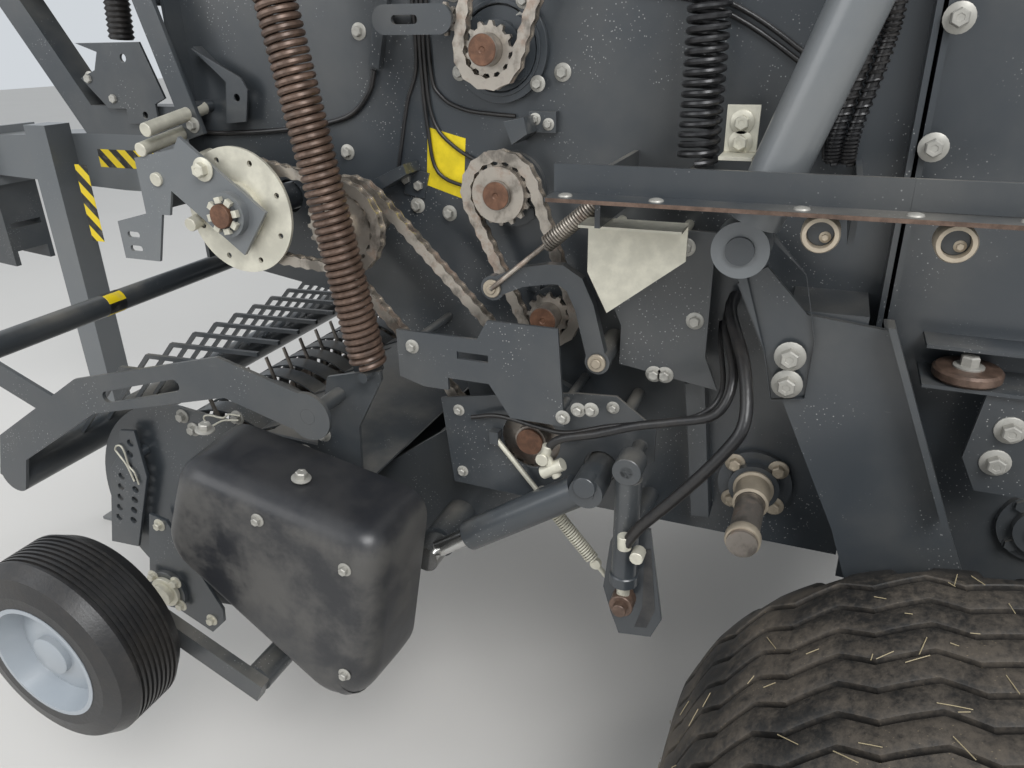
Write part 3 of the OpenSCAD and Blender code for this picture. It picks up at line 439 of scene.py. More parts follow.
def smooth_path(points, steps):
    """Catmull-Rom curve through the points."""
    points = [Vector(p) for p in points]
    ends = [2 * points[0] - points[1], *points, 2 * points[-1] - points[-2]]
    out = []
    for a, b, c, d in zip(ends, ends[1:], ends[2:], ends[3:]):
        for i in range(steps):
            t = i / steps
            out.append(0.5 * (2 * b + (c - a) * t + (2 * a - 5 * b + 4 * c - d) * t * t
                              + (3 * b - a - 3 * c + d) * t ** 3))
    return out + [points[-1]]


def hex_bolt(bm, at, axis, size):
    """Adds a hexagon head on a washer. size is the width over flats."""
    height = size * 0.62
    low = size * 0.14
    rim = size * 0.92
    turned(bm, [(0, 0), (0, rim), (low * 0.7, rim), (low, size * 0.86), (low, 0)], at, axis, 20)
    radius = size / math.sqrt(3)
    turned(bm, [(low, 0), (low, radius), (low + height * 0.86, radius)], at, axis, 6)
    top = Vector(at) + Vector(axis).normalized() * (low + height * 0.86)
    turned(bm, [(0, radius), (height * 0.14, radius * 0.84), (height * 0.14, radius * 0.45),
                (height * 0.09, radius * 0.4), (height * 0.09, 0)], top, axis, 6)


def coil(bm, low, high, radius, wire_radius, turns):
    """Adds a coil spring between two points."""
    low, high = Vector(low), Vector(high)
    axis = high - low
    turn = Vector((0, 0, 1)).rotation_difference(axis).to_matrix()
    count = turns * POINTS_PER_TURN
    points = []
    for i in range(count + 1):
        a = 2 * math.pi * i / POINTS_PER_TURN
        spot = Vector((radius * math.cos(a), radius * math.sin(a), axis.length * i / count))
        points.append(low + turn @ spot)
    wire(bm, points, wire_radius)


def plate(bm, outline, x, thick, holes=(), edge=0.8):
    """Adds a flat plate that faces along X. Points are (y, z) and holes (y, z, diameter), all in mm."""
    curve = bpy.data.curves.new("outline", "CURVE")
    curve.dimensions = "2D"
    curve.fill_mode = "BOTH"
    curve.extrude = thick / 2 - edge
    curve.bevel_depth = edge
    curve.bevel_resolution = 1
    curve.offset = -edge
    for ring in [outline, *(circle(y, z, d, 24) for y, z, d in holes)]:
        spline = curve.splines.new("POLY")
        spline.points.add(len(ring) - 1)
        for point, (y, z) in zip(spline.points, ring):
            point.co = (y, z, 0.0, 1.0)
        spline.use_cyclic_u = True
    holder = bpy.data.objects.new("outline", curve)
    mesh = bpy.data.meshes.new_from_object(holder)
    upright = Matrix(((0, 0, 1, x + thick / 2), (1, 0, 0, 0), (0, 1, 0, 0), (0, 0, 0, 1)))
    mesh.transform(Matrix.Scale(MM, 4) @ upright)
    bm.from_mesh(mesh)
    bpy.data.objects.remove(holder)
    bpy.data.curves.remove(curve)
    bpy.data.meshes.remove(mesh)


def band(start, end, width):
    """Corners of a straight band of the given width, for plate."""
    a, b = Vector(start), Vector(end)
    way = (b - a).normalized() * width / 2
    off = Vector((-way.y, way.x))
    return [tuple(a + off), tuple(a - off), tuple(b - off), tuple(b + off)]


def sticker(bm, outline, face):
    """Adds a thin sheet a little off a face that looks along X. Sizes in mm."""
    plate(bm, outline, face + STICKER_OFF, STICKER, edge=0.1)


def oblong(y0, y1, low, high):
    """Corners of an upright rectangle, for plate."""
    return [(y0, high), (y1, high), (y1, low), (y0, low)]


def scaled(rings):
    """Rings in metres from rings in mm."""
    return [(along * MM, radius * MM) for along, radius in rings]


def pin(bm, y, z, x0, x1, d, steps=24):
    """Adds a round pin along X, with bevelled ends. Sizes in mm."""
    length = x1 - x0
    edge = min(1.0, d / 10, length / 4)
    rings = [(0, 0), (0, d / 2 - edge), (edge, d / 2),
             (length - edge, d / 2), (length, d / 2 - edge), (length, 0)]
    turned(bm, scaled(rings), (x0 * MM, y * MM, z * MM), (1, 0, 0), steps)


def rod(bm, start, end, d):
    """Adds a round rod between two points in mm."""
    a, b = Vector(start) * MM, Vector(end) * MM
    length = (b - a).length
    radius = d / 2 * MM
    turned(bm, [(0, 0), (0, radius * 0.92), (radius * 0.08, radius), (length - radius * 0.08, radius),
                (length, radius * 0.92), (length, 0)], a, b - a, 20)


def hose(bm, points, d):
    """Adds a smooth round hose through points in mm."""
    wire(bm, [p * MM for p in smooth_path(points, 6)], d / 2 * MM, 12)


def nut(bm, x, y, z, size):
    """Adds a bolt head that faces away from the left wall. Sizes in mm."""
    hex_bolt(bm, (x * MM, y * MM, z * MM), (1, 0, 0), size * MM)


def nuts(bm, share, rows):
    """Adds bolt heads from rows of x, size and places (y, z), at a share of that size."""
    for x, size, places in rows:
        for y, z in places:
            nut(bm, x, y, z, size * share)


def rounded(corners, radius, steps):
    """Outline with its corners rounded by curves that start radius away from each corner."""
    out = []
    count = len(corners)
    for i, corner in enumerate(corners):
        here = Vector(corner)
        start = here + (Vector(corners[i - 1]) - here).normalized() * radius
        end = here + (Vector(corners[(i + 1) % count]) - here).normalized() * radius
        for k in range(steps + 1):
            t = k / steps
            out.append(tuple(start * (1 - t) ** 2 + here * 2 * t * (1 - t) + end * t * t))
    return out


def roller_at(number):
    """Place (y, z) in mm of a chamber roller, counted from the lowest front one."""
    turn = math.radians(number * ROLLER_SPAN / ROLLER_STEPS - ROLLER_LOWEST)
    y, z = CHAMBER_AT
    return y - ROLLER_CIRCLE * math.cos(turn), z + ROLLER_CIRCLE * math.sin(turn)


# Sizes that a user may change

class BalerSprings(bpy.types.PropertyGroup):
    relief_wire: bpy.props.FloatProperty(
        name="Relief spring wire", description="Wire diameter of the two big pickup springs",
        default=0.0115, unit="LENGTH")
    relief_turns: bpy.props.IntProperty(
        name="Relief spring turns", description="Turns of each big pickup spring", default=68)
    tension_wire: bpy.props.FloatProperty(
        name="Tension spring wire", description="Wire diameter of the black spring",
        default=0.0095, unit="LENGTH")


class BalerTyres(bpy.types.PropertyGroup):
    waves: bpy.props.IntProperty(
        name="Tread waves", description="Zigzags of a tread groove round the tyre", default=24)
    wave_height: bpy.props.FloatProperty(
        name="Wave height", description="Half the sideways swing of a tread groove",
        default=0.01, unit="LENGTH")
    straws: bpy.props.IntProperty(
        name="Straws", description="Bits of straw stuck to each tyre", default=110)


class BalerStage(bpy.types.PropertyGroup):
    floor_colour: bpy.props.FloatVectorProperty(
        name="Floor colour", description="Colour of the pale floor",
        default=(0.66, 0.64, 0.61), subtype="COLOR")
    sky_strength: bpy.props.FloatProperty(
        name="Sky strength", description="Strength of the soft light all round", default=0.7)


class BALER_OT_carried_nodes(bpy.types.Operator):
    """Gives every carried-over solid its finish"""
    bl_idname = "baler.carried_nodes"
    bl_label = "Finish the solids"

    def execute(self, context):
        groups = {
            "chain_steel": ("chain_input", "chain_rotor", "chain_upper", "chain_lower", "sprockets"),
            "black_spring": ("tension_spring",),
            "gauge_rubber": ("gauge_wheel_left", "gauge_wheel_right"),
            "rim_paint": ("rim_left", "rim_right"),
            "paint_dark": ("pickup_bands", "chamber_bearings", "tailgate_bearings"),
        }
        looks = {node: look for look, nodes in groups.items() for node in nodes}
        slots = {entry["node"]: entry["material_slot"] for entry in frame["record"]["subparts"]}
        for name, obj in frame["nodes"].items():
            look = finish(looks.get(name, slots[name]))
            obj.data.materials.clear()
            obj.data.materials.append(look)
        return {"FINISHED"}


class BALER_OT_springs(bpy.types.Operator):
    """Winds the relief springs and the tension spring"""
    bl_idname = "baler.springs"
    bl_label = "Springs"

    def execute(self, context):
        sizes = context.scene.baler_springs
        wire_radius = sizes.relief_wire / 2
        for side, sign in SIDES:
            bm = bmesh.new()
            low = (sign * RELIEF_X, 0.3188, 1.097)
            high = (sign * RELIEF_X, 0.1712, 1.953)
            coil(bm, low, high, RELIEF_RADIUS - wire_radius, wire_radius, sizes.relief_turns)
            replaced = ("relief_springs",) if sign > 0 else ()
            add_piece(f"relief_spring_{side}", bm, "rusty_steel", "chassis", replaced)
        bm = bmesh.new()
        wire_radius = sizes.tension_wire / 2
        coil(bm, (*TENSION_AT, 1.469), (*TENSION_AT, 1.895), TENSION_RADIUS - wire_radius, wire_radius,
             TENSION_TURNS)
        add_piece("tension_coil", bm, "black_spring", "chassis", ("tension_spring",))
        return {"FINISHED"}


class BALER_OT_road_tyres(bpy.types.Operator):
    """Builds the road tyres with zigzag grooves and shoulder blocks"""
    bl_idname = "baler.road_tyres"
    bl_label = "Road tyres"

    def execute(self, context):
        sizes = context.scene.baler_tyres
        samples = 10
        steps = sizes.waves * samples
        # Columns: place across the tyre, radius, share of the zigzag that it takes
        side = [(-0.2, 0.213, 0), (-0.222, 0.25, 0), (-0.245, 0.31, 0), (-0.25, 0.37, 0), (-0.247, 0.41, 0),
                (-0.24, 0.428, 0), (-0.222, 0.442, 0), (-0.205, 0.452, 0), (-0.185, 0.4585, 0.5)]
        # A groove: place across it, depth
        groove = [(-0.0075, 0.0015), (-0.0055, 0.003), (-0.0035, 0.016),
                  (0.0035, 0.016), (0.0055, 0.003), (0.0075, 0.0015)]
        last = 0.158
        middles = [-last + i * (2 * last) / 6 for i in range(7)]
        columns = list(side)
        for middle in middles:
            crown = WHEEL_R - 0.0018 * (middle / last) ** 2
            columns += [(middle + across, crown - depth, 1) for across, depth in groove]
            if middle < middles[-1]:
                columns += [(middle + 0.02, crown, 1), (middle + 0.033, crown, 1)]
        columns += [(-across, radius, share) for across, radius, share in reversed(side)]
        rise = 0.6
        block_depth = 0.013
        block_samples = 4

        def swing(step):
            """Sideways place of a groove from -1 to 1, with a slow way over and a faster one back."""
            part = (step % samples) / samples
            return part / rise * 2 - 1 if part < rise else 1 - (part - rise) / (1 - rise) * 2

        for name, sign in SIDES:
            bm = bmesh.new()
            loops = []
            for across, radius, share in columns:
                loop = []
                on_shoulder = 0.19 < abs(across) < 0.243
                for step, a in enumerate(full_turn(steps)):
                    cut = on_shoulder and step % samples < block_samples
                    reach = radius - (block_depth if cut else 0.0)
                    x = across + share * sizes.wave_height * swing(step)
                    loop.append(bm.verts.new((sign * (WHEEL_X + x), WHEEL_AT[0] + reach * math.cos(a),
                                              WHEEL_AT[1] + reach * math.sin(a))))
                loops.append(loop)
            bridge(bm, loops, steps)
            bridge(bm, [loops[-1], loops[0]], steps)
            add_piece(f"road_tyre_{name}", bm, "tyre_rubber", f"wheel_{name}",
                      (f"tyre_{name}",))
        return {"FINISHED"}


class BALER_OT_pickup_covers(bpy.types.Operator):
    """Moulds the two rounded covers over the pickup drive"""
    bl_idname = "baler.pickup_covers"
    bl_label = "Pickup covers"

    def execute(self, context):
        corners = [(0.01, 0.955), (0.455, 0.87), (0.385, 0.48), (0.3, 0.43), (-0.085, 0.735)]
        middle = Vector([sum(axis) / len(corners) for axis in zip(*corners)])
        outline = rounded(corners, 0.062, 8)
        edge_x = 0.965
        crown_x = 1.0205
        bow = 0.055
        draft = 0.006
        # Rings: place along X, inset, towards the face
        rings = [(0.847, 0.0), (0.875, 0.0), (edge_x, draft)]
        rings += [(edge_x + bow * math.sin(t), draft + bow * (1 - math.cos(t)))
                  for t in map(math.radians, range(15, 91, 15))]
        for side, sign in SIDES:
            bm = bmesh.new()
            loops = []
            for x, inset in rings:
                loop = []
                for point in outline:
                    way = middle - Vector(point)
                    spot = Vector(point) + way.normalized() * inset
                    loop.append(bm.verts.new((sign * x, spot.x, spot.y)))
                loops.append(loop)
            loops.append([bm.verts.new((sign * crown_x, middle.x, middle.y))])
            bridge(bm, loops, len(outline))
            bm.faces.new(loops[0])
            replaced = ("pickup_covers",) if sign > 0 else ()
            add_piece(f"pickup_cover_{side}", bm, "black_plastic", "pickup", replaced)
        return {"FINISHED"}


class BALER_OT_left_plates(bpy.types.Operator):
    """Adds the plates and brackets on the left side wall"""
    bl_idname = "baler.left_plates"
    bl_label = "Left side plates"

    def execute(self, context):
        bm = bmesh.new()
        # The bar beside the relief spring and the plate over its head
        inner_x = 770
        side = Vector((-RELIEF_WAY.y, RELIEF_WAY.x)) * 44
        top = RELIEF_HIGH + RELIEF_WAY * 20.3
        plate(bm, band(RELIEF_LOW - RELIEF_WAY * 20 + side, top + side, 24), inner_x, 6)
        plate(bm, band(top + side * 1.27, top - side * 0.75, 36), inner_x, 6, [(top.x, top.y, 28)])
        # Plates: x, thickness, outline, holes
        for x, thick, outline, holes in (
                (690, 6, [(730, 1362), (745, 1240), (768, 1190), (768, 1118), (940, 1092), (915, 1150),
                          (915, 1362)], []),
                (WALL, 40, band((897, 1084), (928, 812), 34), []),
                (755.5, 8, [(945, 1345), (1000, 1385), (1055, 1324), (1080, 1224), (1078, 1130),
                            (1030, 1120), (1010, 1204)], [(965, 1370, 66)]),
                (728, 6, [(430, 1015), (609, 1052), (706, 1067), (775, 1072), (848, 1020), (848, 955),
                          (800, 920), (750, 884), (642, 828), (450, 832)],
                 [(*ROTOR_AT, 116), (751, 926, 64), (*FLOOR_PIN, 26)]),
                (606, 6, [(-457, 1650), (-279, 1650), (-238, 1542), (-267, 1530), (-267, 1490), (-350, 1490),
                          (-350, 1520), (-400, 1520), (-462, 1581), (-417, 1597), (-400, 1632)],
                 [(-300, 1508, 14), (-330, 1620, 16)]),
                (680, 10, band((-215, 1868), (-100, 1478), 46), [(-190, 1778, 16)]),
                (644, 5, [(-113, 1637), (-4, 1584), (8, 1562), (-6, 1504), (-56, 1499), (-39, 1576)],
                 [(-20, 1548, 14)]),
                (WALL, 24, band((-112, 1638), (-42, 1577), 6), []),
                (WALL, 24, band((-42, 1577), (-58, 1500), 6), []),
                (WALL, 5, oblong(345, 407, 1792, 1828), []),
                (WALL, 14, oblong(579, 627, 1497, 1531), []),
                (WALL + 2, 62, [(552, 1519), (588, 1526), (594, 1500), (566, 1482)], []),
                (WALL, 5, [(329, 1428), (376, 1418), (362, 1371), (320, 1378)], []),
                (WALL + 2, 56, [(290, 1412), (352, 1441), (358, 1424), (300, 1392)], []),
                (WALL, 16, band((318, 1740), (283, 1601), 22), []),
                (RAIL_X, 6, oblong(*RAIL_REAR, RAIL_LOW, RAIL_LOW + 40), []),
                (RAIL_X, 50, oblong(*RAIL_REAR, RAIL_LOW - 6, RAIL_LOW), [])):
            plate(bm, outline, x, thick, holes)
        for place in ((800, 1300, WALL, 690, 24), (880, 1150, WALL, 690, 24), (790, 1030, WALL, 728, 24),
                      (-115, 1530, WALL, 680, 24), (-172, 1722, WALL, 680, 20), (745, 1355, 690, 700, 22)):
            pin(bm, *place)
        for x, thick, d, bore in ((WALL + 1, 12, 172, 136), (WALL + 12, 4, 150, 138)):
            plate(bm, circle(525, 1629, d, 48), x, thick, [(525, 1629, bore)])
        add_piece("left_plates", bm, "paint_dark", "chassis")
        return {"FINISHED"}


class BALER_OT_floor_linkage(bpy.types.Operator):
    """Adds the drop floor cylinder, its lever with a black sheet of painted shade for its slot, and the
    spring rod
    """
    bl_idname = "baler.floor_linkage"
    bl_label = "Drop floor linkage"

    def execute(self, context):
        bm = bmesh.new()
        pin(bm, *FLOOR_PIN, 736, 836, 24)
        pin(bm, *FLOOR_PIN, 788, 836, 50)
        # The cylinder stands upright: x, y
        upright = (812, 822)
        rod(bm, (*upright, 962), (*upright, 760), 46)
        rod(bm, (*upright, 765), (*upright, 742), 52)
        lever = [(786, 800), (800, 838), (858, 842), (890, 648), (872, 602), (810, 592), (792, 640),
                 (776, 695)]
        plate(bm, lever, 772, 8)
        pin(bm, 824, 815, WALL, 776, 36)
        plate(bm, oblong(538, 556, 944, 970), 734, 20)
        pin(bm, 750, 940, 806, 838, 40)
        add_piece("floor_cylinder", bm, "paint_dark", "chassis")
        bm = bmesh.new()
        rod(bm, (*upright, 742), (*upright, 700), 24)
        rod(bm, (748, 547, 958), (748, 810, 652), 10)
        coil(bm, Vector((748, 655, 832.3)) * MM, Vector((748, 745, 727.6)) * MM, 0.0115, 0.002, 26)
        pin(bm, 752, 719, 742, 754, 22)
        add_piece("floor_rods", bm, "galvanised", "chassis")
        bm = bmesh.new()
        pin(bm, *SLOT_PIN, 772, 842, 26)
        pin(bm, *SLOT_PIN, 796, 828, 44)
        pin(bm, 810, 652, 738, 790, 24)
        plate(bm, oblong(790, 826, 634, 668), 742, 12)
        add_piece("floor_pins", bm, "rusty_steel", "chassis")
        bm = bmesh.new()
        # The slot in the lever is not cut: a thin black sheet on the lever's face is painted shade where the
        # slot's opening would show the dark behind it
        slot_shade = [(851, 800), (862, 803), (877, 668), (863, 622), (840, 618), (853, 668)]
        sticker(bm, slot_shade, 780)
        add_piece("floor_slot_shade", bm, "black_plastic", "chassis")
        return {"FINISHED"}


class BALER_OT_hoses(bpy.types.Operator):
    """Lays the hoses and grease lines of the left side, with their ends and fittings"""
    bl_idname = "baler.hoses"
    bl_label = "Hoses"

    def execute(self, context):
        bm = bmesh.new()
        # The three hoses by the drop floor, as places (x, y, z), then their diameter
        hose(bm, [(640, 948, 1245), (700, 950, 1232), (790, 985, 1185), (850, 1000, 1120), (864, 975, 1065),
                  (864, 912, 975), (858, 855, 900), (852, 830, 852)], 20)
        hose(bm, [(640, 940, 1215), (705, 946, 1205), (790, 972, 1160), (822, 955, 1110), (824, 890, 1086),
                  (820, 830, 1066), (810, 762, 1034), (800, 690, 1004), (800, 664, 968)], 15)
        hose(bm, [(640, 930, 1195), (700, 938, 1180), (770, 955, 1130), (800, 930, 1095), (800, 862, 1068),
                  (790, 780, 1042), (780, 700, 1010), (765, 640, 1004), (752, 560, 1006), (745, 500, 990)], 9)
        # Lines along the wall: distance from the wall, diameter, points (y, z)
        for off, d, points in (
                (4, 7, [(391, 1790), (391, 1600), (410, 1552), (455, 1531), (505, 1525), (550, 1522)]),
                (4, 7, [(359, 1790), (364, 1613), (340, 1540), (313, 1428)]),
                (4, 7, [(381, 1790), (381, 1596), (392, 1510), (430, 1468), (486, 1438)]),
                (4, 7, [(372, 1790), (373, 1596), (379, 1500), (396, 1420), (474, 1391)]),
                (6, 10, [(278, 1596), (264, 1560), (222, 1520), (150, 1500), (40, 1486), (-90, 1478),
                         (-136, 1480)]),
                (5, 8, [(640, 1790), (690, 1722), (836, 1694), (912, 1664), (988, 1616), (1036, 1573),
                        (1056, 1470)]),
                (5, 8, [(650, 1800), (700, 1735), (840, 1706), (918, 1676), (996, 1626), (1044, 1583),
                        (1060, 1480)])):
            hose(bm, [(WALL + off, y, z) for y, z in points], d)
        add_piece("left_hoses", bm, "hose_rubber", "chassis")
        bm = bmesh.new()
        # Two wrapped hoses up the wall: places (y, z) of the first
        line = ((1066, 1466), (1070, 1520), (1092, 1620), (1100, 1700), (1100, 1900), (1092, 2080))
        turns = 46
        per_turn = 10
        wrap_radius = 10.2
        for shift in (0, 22):
            centre = smooth_path([(650, y + shift, z) for y, z in line], 10)
            wire(bm, [p * MM for p in centre], 0.0088, 12)
            points = []
            for i in range(turns * per_turn + 1):
                place = i / (turns * per_turn) * (len(centre) - 1)
                low = min(int(place), len(centre) - 2)
                spot = centre[low].lerp(centre[low + 1], place - low)
                angle = 2 * math.pi * i / per_turn
                off = Vector((wrap_radius * math.cos(angle), wrap_radius * math.sin(angle), 0))
                points.append((spot + off) * MM)
            wire(bm, points, 0.0024, 5)
        # The folded rubber bellows at the wall's front
        folds = [(i * 0.0052, 0.026 if i % 2 else 0.022) for i in range(28)]
        turned(bm, [(0, 0), *folds, (folds[-1][0], 0)], (0.59, -0.345, 1.655), (0, 0.1, 1), 24)
        add_piece("wrapped_hoses", bm, "hose_rubber", "chassis")
        bm = bmesh.new()
        for y, z, x0, x1 in ((852, 836, 836, 862), (664, 964, 800, 812)):
            pin(bm, y, z, x0, x1, 24, 12)
        rod(bm, (852, 828, 872), (852, 829, 846), 24)
        rod(bm, (800, 672, 990), (800, 665, 962), 19)
        for y, z in ((-113, 1502), (-135, 1466), (-113, 1412), (-49, 1331)):
            rod(bm, (WALL + 20, y, z + 26), (800, y, z), 26)
        add_piece("hose_ends", bm, "galvanised", "chassis")
        bm = bmesh.new()
        rod(bm, (800, 700, 958), (800, 662, 932), 24)
        rod(bm, (800, 690, 930), (800, 668, 966), 18)
        add_piece("port_fitting", bm, "galvanised", "dip_barrel_left")
        return {"FINISHED"}


class BALER_OT_fasteners(bpy.types.Operator):
    """Sets the bolt heads on the wall, the rail and the pickup"""
    bl_idname = "baler.fasteners"
    bl_label = "Bolts"

    def execute(self, context):
        bm = bmesh.new()
        nuts(bm, HEAD_SHARE, (
            (WALL, 19, [(201, 1450), (328, 1407), (353, 1395), (346, 1357), (413, 1346), (564, 1676),
                        (634, 1592), (440, 1716), (660, 1840), (540, 1850), (250, 1660), (60, 1640),
                        (90, 1750)]),
            (WALL + 14, 17, [(452, 1592), (595, 1575), (571, 1700), (466, 1678)]),
            (WALL + 14, 13, [(590, 1519), (614, 1511)]),
            (696, 19, [(831, 1108), (850, 1109), (893, 1213), (870, 1335)]),
            (763.5, 30, [(1049, 1197), (1050, 1151)]),
            (796, 17, [(725, 1067), (748, 1071), (698, 1048), (412, 1142)]),
            (690, 19, [(-100, 1500), (-205, 1840)]),
            (734, 15, [(468, 995), (470, 860), (640, 850), (770, 1050)]),
            (606, 19, [(-440, 1580), (-380, 1540)])))
        for y in (725, 854, 1040, 1170, 1290):
            turned(bm, [(0, 0.0105), (0.002, 0.0095), (0.0035, 0.006), (0.004, 0)],
                   (0.88, y * MM, RAIL_LOW * MM), (0, 0, 1), 20)
        add_piece("wall_bolts", bm, "bolt_zinc", "chassis")
        bm = bmesh.new()
        nuts(bm, HEAD_SHARE, (
            (805, 21, [(-167, 907), (-143, 879), (60, 870), (150, 880), (200, 930), (-14, 930)]),
            (1020.5, 17, [(196, 862), (372, 800), (340, 545)])))
        for y, z in ((240, 912), (30, 975)):
            hex_bolt(bm, (0.94, y * MM, z * MM), (0, 0.18, 1), 0.02)
        add_piece("pickup_bolts", bm, "bolt_zinc", "pickup")
        return {"FINISHED"}


class BALER_OT_labels(bpy.types.Operator):
    """Sticks on the blank yellow label and the warning stripes"""
    bl_idname = "baler.labels"
    bl_label = "Labels and stripes"

    def execute(self, context):
        bm = bmesh.new()
        sticker(bm, [(377, 1500), (452, 1482), (443, 1374), (368, 1396)], WALL)
        add_piece("yellow_label", bm, "label_yellow", "chassis")
        bm = bmesh.new()
        sticker(bm, oblong(-1091, -1041, 1073, 1311), 165)
        sticker(bm, oblong(-1086, -856, 1290, 1345), 75)
        add_piece("hazard_stripes", bm, "hazard", "chassis")
        bm = bmesh.new()
        pin(bm, -650, 1022, 490, 545, 58.4, 32)
        add_piece("tube_stripes", bm, "hazard", "windguard")
        bm = bmesh.new()
        sticker(bm, oblong(-1296, -1186, 1272, 1376), 75)
        add_piece("drawbar_marker", bm, "white_plate", "chassis")
        return {"FINISHED"}


class BALER_OT_pickup_fittings(bpy.types.Operator):
    """Adds the perforated bar, the bearing plate and the clips on the pickup"""
    bl_idname = "baler.pickup_fittings"
    bl_label = "Pickup fittings"

    def execute(self, context):
        bm = bmesh.new()
        holes = [(-311 - 10.5 * i, 828 - 30.5 * i, 18) for i in range(3)]
        holes += [(y - 11 * i, z - 31 * i, 18) for y, z in ((-321, 732), (-366, 730)) for i in range(5)]
        plate(bm, [(-335, 856), (-290, 862), (-285, 745), (-372, 530), (-460, 524), (-395, 745), (-357, 790)],
              826, 8, holes)
        plate(bm, [(-288, 654), (-239, 646), (-124, 422), (-129, 384), (-172, 339), (-351, 416)],
              842, 8, [(*REEL_BEARING, 40)])
        for y, z, x1, d in ((-300, 800, 826, 24), (-395, 570, 826, 24), (*REEL_BEARING, 842, 60),
                            (-240, 590, 842, 26)):
            pin(bm, y, z, 805, x1, d)
        pin(bm, *REEL_BEARING, 850, 862, 104, 32)
        add_piece("pickup_plates", bm, "paint_dark", "pickup")
        bm = bmesh.new()
        pin(bm, *REEL_BEARING, 862, 872, 78, 32)
        pin(bm, *REEL_BEARING, 872, 886, 56, 32)
        for y, z, x in ((-240, 480, 862), (-310, 412, 862), (-240, 412, 862), (-310, 480, 862),
                        (-165, 380, 850), (-262, 630, 850)):
            nut(bm, x, y, z, 17)
        # Clips: x, centre of the bow (y, z), way of the legs in degrees
        for x, y, z, way in ((838, -345, 805, -70), (838, -60, 930, 15)):
            a = math.radians(way)
            along = Vector((0, math.cos(a), math.sin(a)))
            across = Vector((0, -math.sin(a), math.cos(a)))
            for leg in (((-12, -4), (-4, -13), (10, -10), (40, -3), (80, -6)),
                        ((-12, -4), (-10, 10), (8, 12), (40, 3), (60, 9), (90, 3))):
                hose(bm, [Vector((x, y, z)) + along * p + across * q for p, q in leg], 4)
        add_piece("pickup_clips", bm, "galvanised", "pickup")
        return {"FINISHED"}


class BALER_OT_tailgate_fittings(bpy.types.Operator):
    """Adds the side plate, the shelf with its disc and the bolts of the tailgate"""
    bl_idname = "baler.tailgate_fittings"
    bl_label = "Tailgate fittings"

    def execute(self, context):
        bm = bmesh.new()
        plate(bm, oblong(1240, 1425, 1152, 1158), WALL, 92, edge=0.4)
        plate(bm, oblong(1240, 1425, 1204, 1210), WALL, 60, edge=0.4)
        plate(bm, [(1330, 1150), (1425, 1150), (1425, 985), (1345, 985), (1318, 1040)], 694, 8,
              [(1363, 1040, 22), (1371, 1097, 22)])
        add_piece("tailgate_shelf", bm, "paint_dark", "tailgate")
        bm = bmesh.new()
        turned(bm, [(0, 0), (0, 0.045), (0.004, 0.049), (0.014, 0.049), (0.018, 0.045), (0.018, 0)],
               (0.672, 1.303, 1.1605), (0, 0, 1), 40)
        add_piece("tailgate_disc", bm, "rusty_steel", "tailgate")
        bm = bmesh.new()
        hex_bolt(bm, (0.672, 1.303, 1.1785), (0, 0, 1), 0.024)
        nuts(bm, 1, ((702, 24, [(1363, 1040), (1371, 1097)]),
                     (668, 22, [(1196, 1496), (1196, 1430), (1196, 1660), (1196, 1900)])))
        add_piece("tailgate_bolts", bm, "bolt_zinc", "tailgate")
        return {"FINISHED"}


class BALER_OT_worn_ends(bpy.types.Operator):
    """Adds the ends of shafts and rollers, worn collars, the castellated nut, and the rail's cups and edge"""
    bl_idname = "baler.worn_ends"
    bl_label = "Worn ends"

    def execute(self, context):
        bm = bmesh.new()
        pin(bm, *SHAFT_AT, 806, 826, 44)
        pin(bm, *ROTOR_AT, 736.5, 744, 52)
        pin(bm, 251, 1334, 758, 764, 30)
        disc = [(0, 0), (0, 0.023), (0.001, 0.024), (0.002, 0.023), (0.002, 0.006), (0.0004, 0.004),
                (0.0004, 0)]
        for number, x in enumerate((708, 698, 702, 696)):
            y, z = roller_at(number)
            turned(bm, disc, (x * MM, y * MM, z * MM), (1, 0, 0), 32)
        add_piece("shaft_ends", bm, "orange_rust", "chassis")
        bm = bmesh.new()
        y, z = roller_at(ROLLER_STEPS)
        turned(bm, [(0, 0.026), (0, 0.036), (0.012, 0.036), (0.014, 0.031), (0.062, 0.031), (0.064, 0.026)],
               (0.640, y * MM, z * MM), (1, 0, 0), 40)
        turned(bm, [(0, 0.0252), (0, 0.0285), (0.003, 0.0295), (0.015, 0.0295), (0.018, 0.028),
                    (0.018, 0.0252)], (0.804, y * MM, z * MM), (1, 0, 0), 40)
        for a in map(math.radians, range(45, 360, 90)):
            nut(bm, WALL + 12, y + 54 * math.cos(a), z + 54 * math.sin(a), 20)
        for y in RAIL_CUPS:
            turned(bm, [(0, 0.017), (0, 0.022), (0.004, 0.024), (0.03, 0.024), (0.034, 0.022), (0.034, 0.017),
                        (0, 0.017)], (0.853, y * MM, 1.412), (1, 0, 0), 36)
            nut(bm, 872, y + 6, 1407, 8)
        for y, z in ARM_ENDS:
            pin(bm, y, z, 740, 746, 32)
            pin(bm, y, z, 746, 750, 17)
        add_piece("worn_collars", bm, "worn_zinc", "chassis")
        bm = bmesh.new()
        for y in RAIL_CUPS:
            pin(bm, y, 1412, 853, 872, 34)
        add_piece("rail_cups", bm, "paint_dark", "chassis")
        bm = bmesh.new()
        for i in range(8):
            a = math.radians(45 * i + 10)
            inner, outer = ((SHAFT_AT[0] + reach * math.cos(a), SHAFT_AT[1] + reach * math.sin(a))
                            for reach in (23, 34))
            plate(bm, band(inner, outer, 13), 810, 10)
        nut(bm, 796, 4, 1436, 24)
        add_piece("shaft_nut", bm, "galvanised", "chassis")
        bm = bmesh.new()
        plate(bm, oblong(702, 1328, 1436.2, 1441.8), 899.4, 1.2, edge=0.2)
        add_piece("rail_edge", bm, "rusty_steel", "chassis")
        return {"FINISHED"}


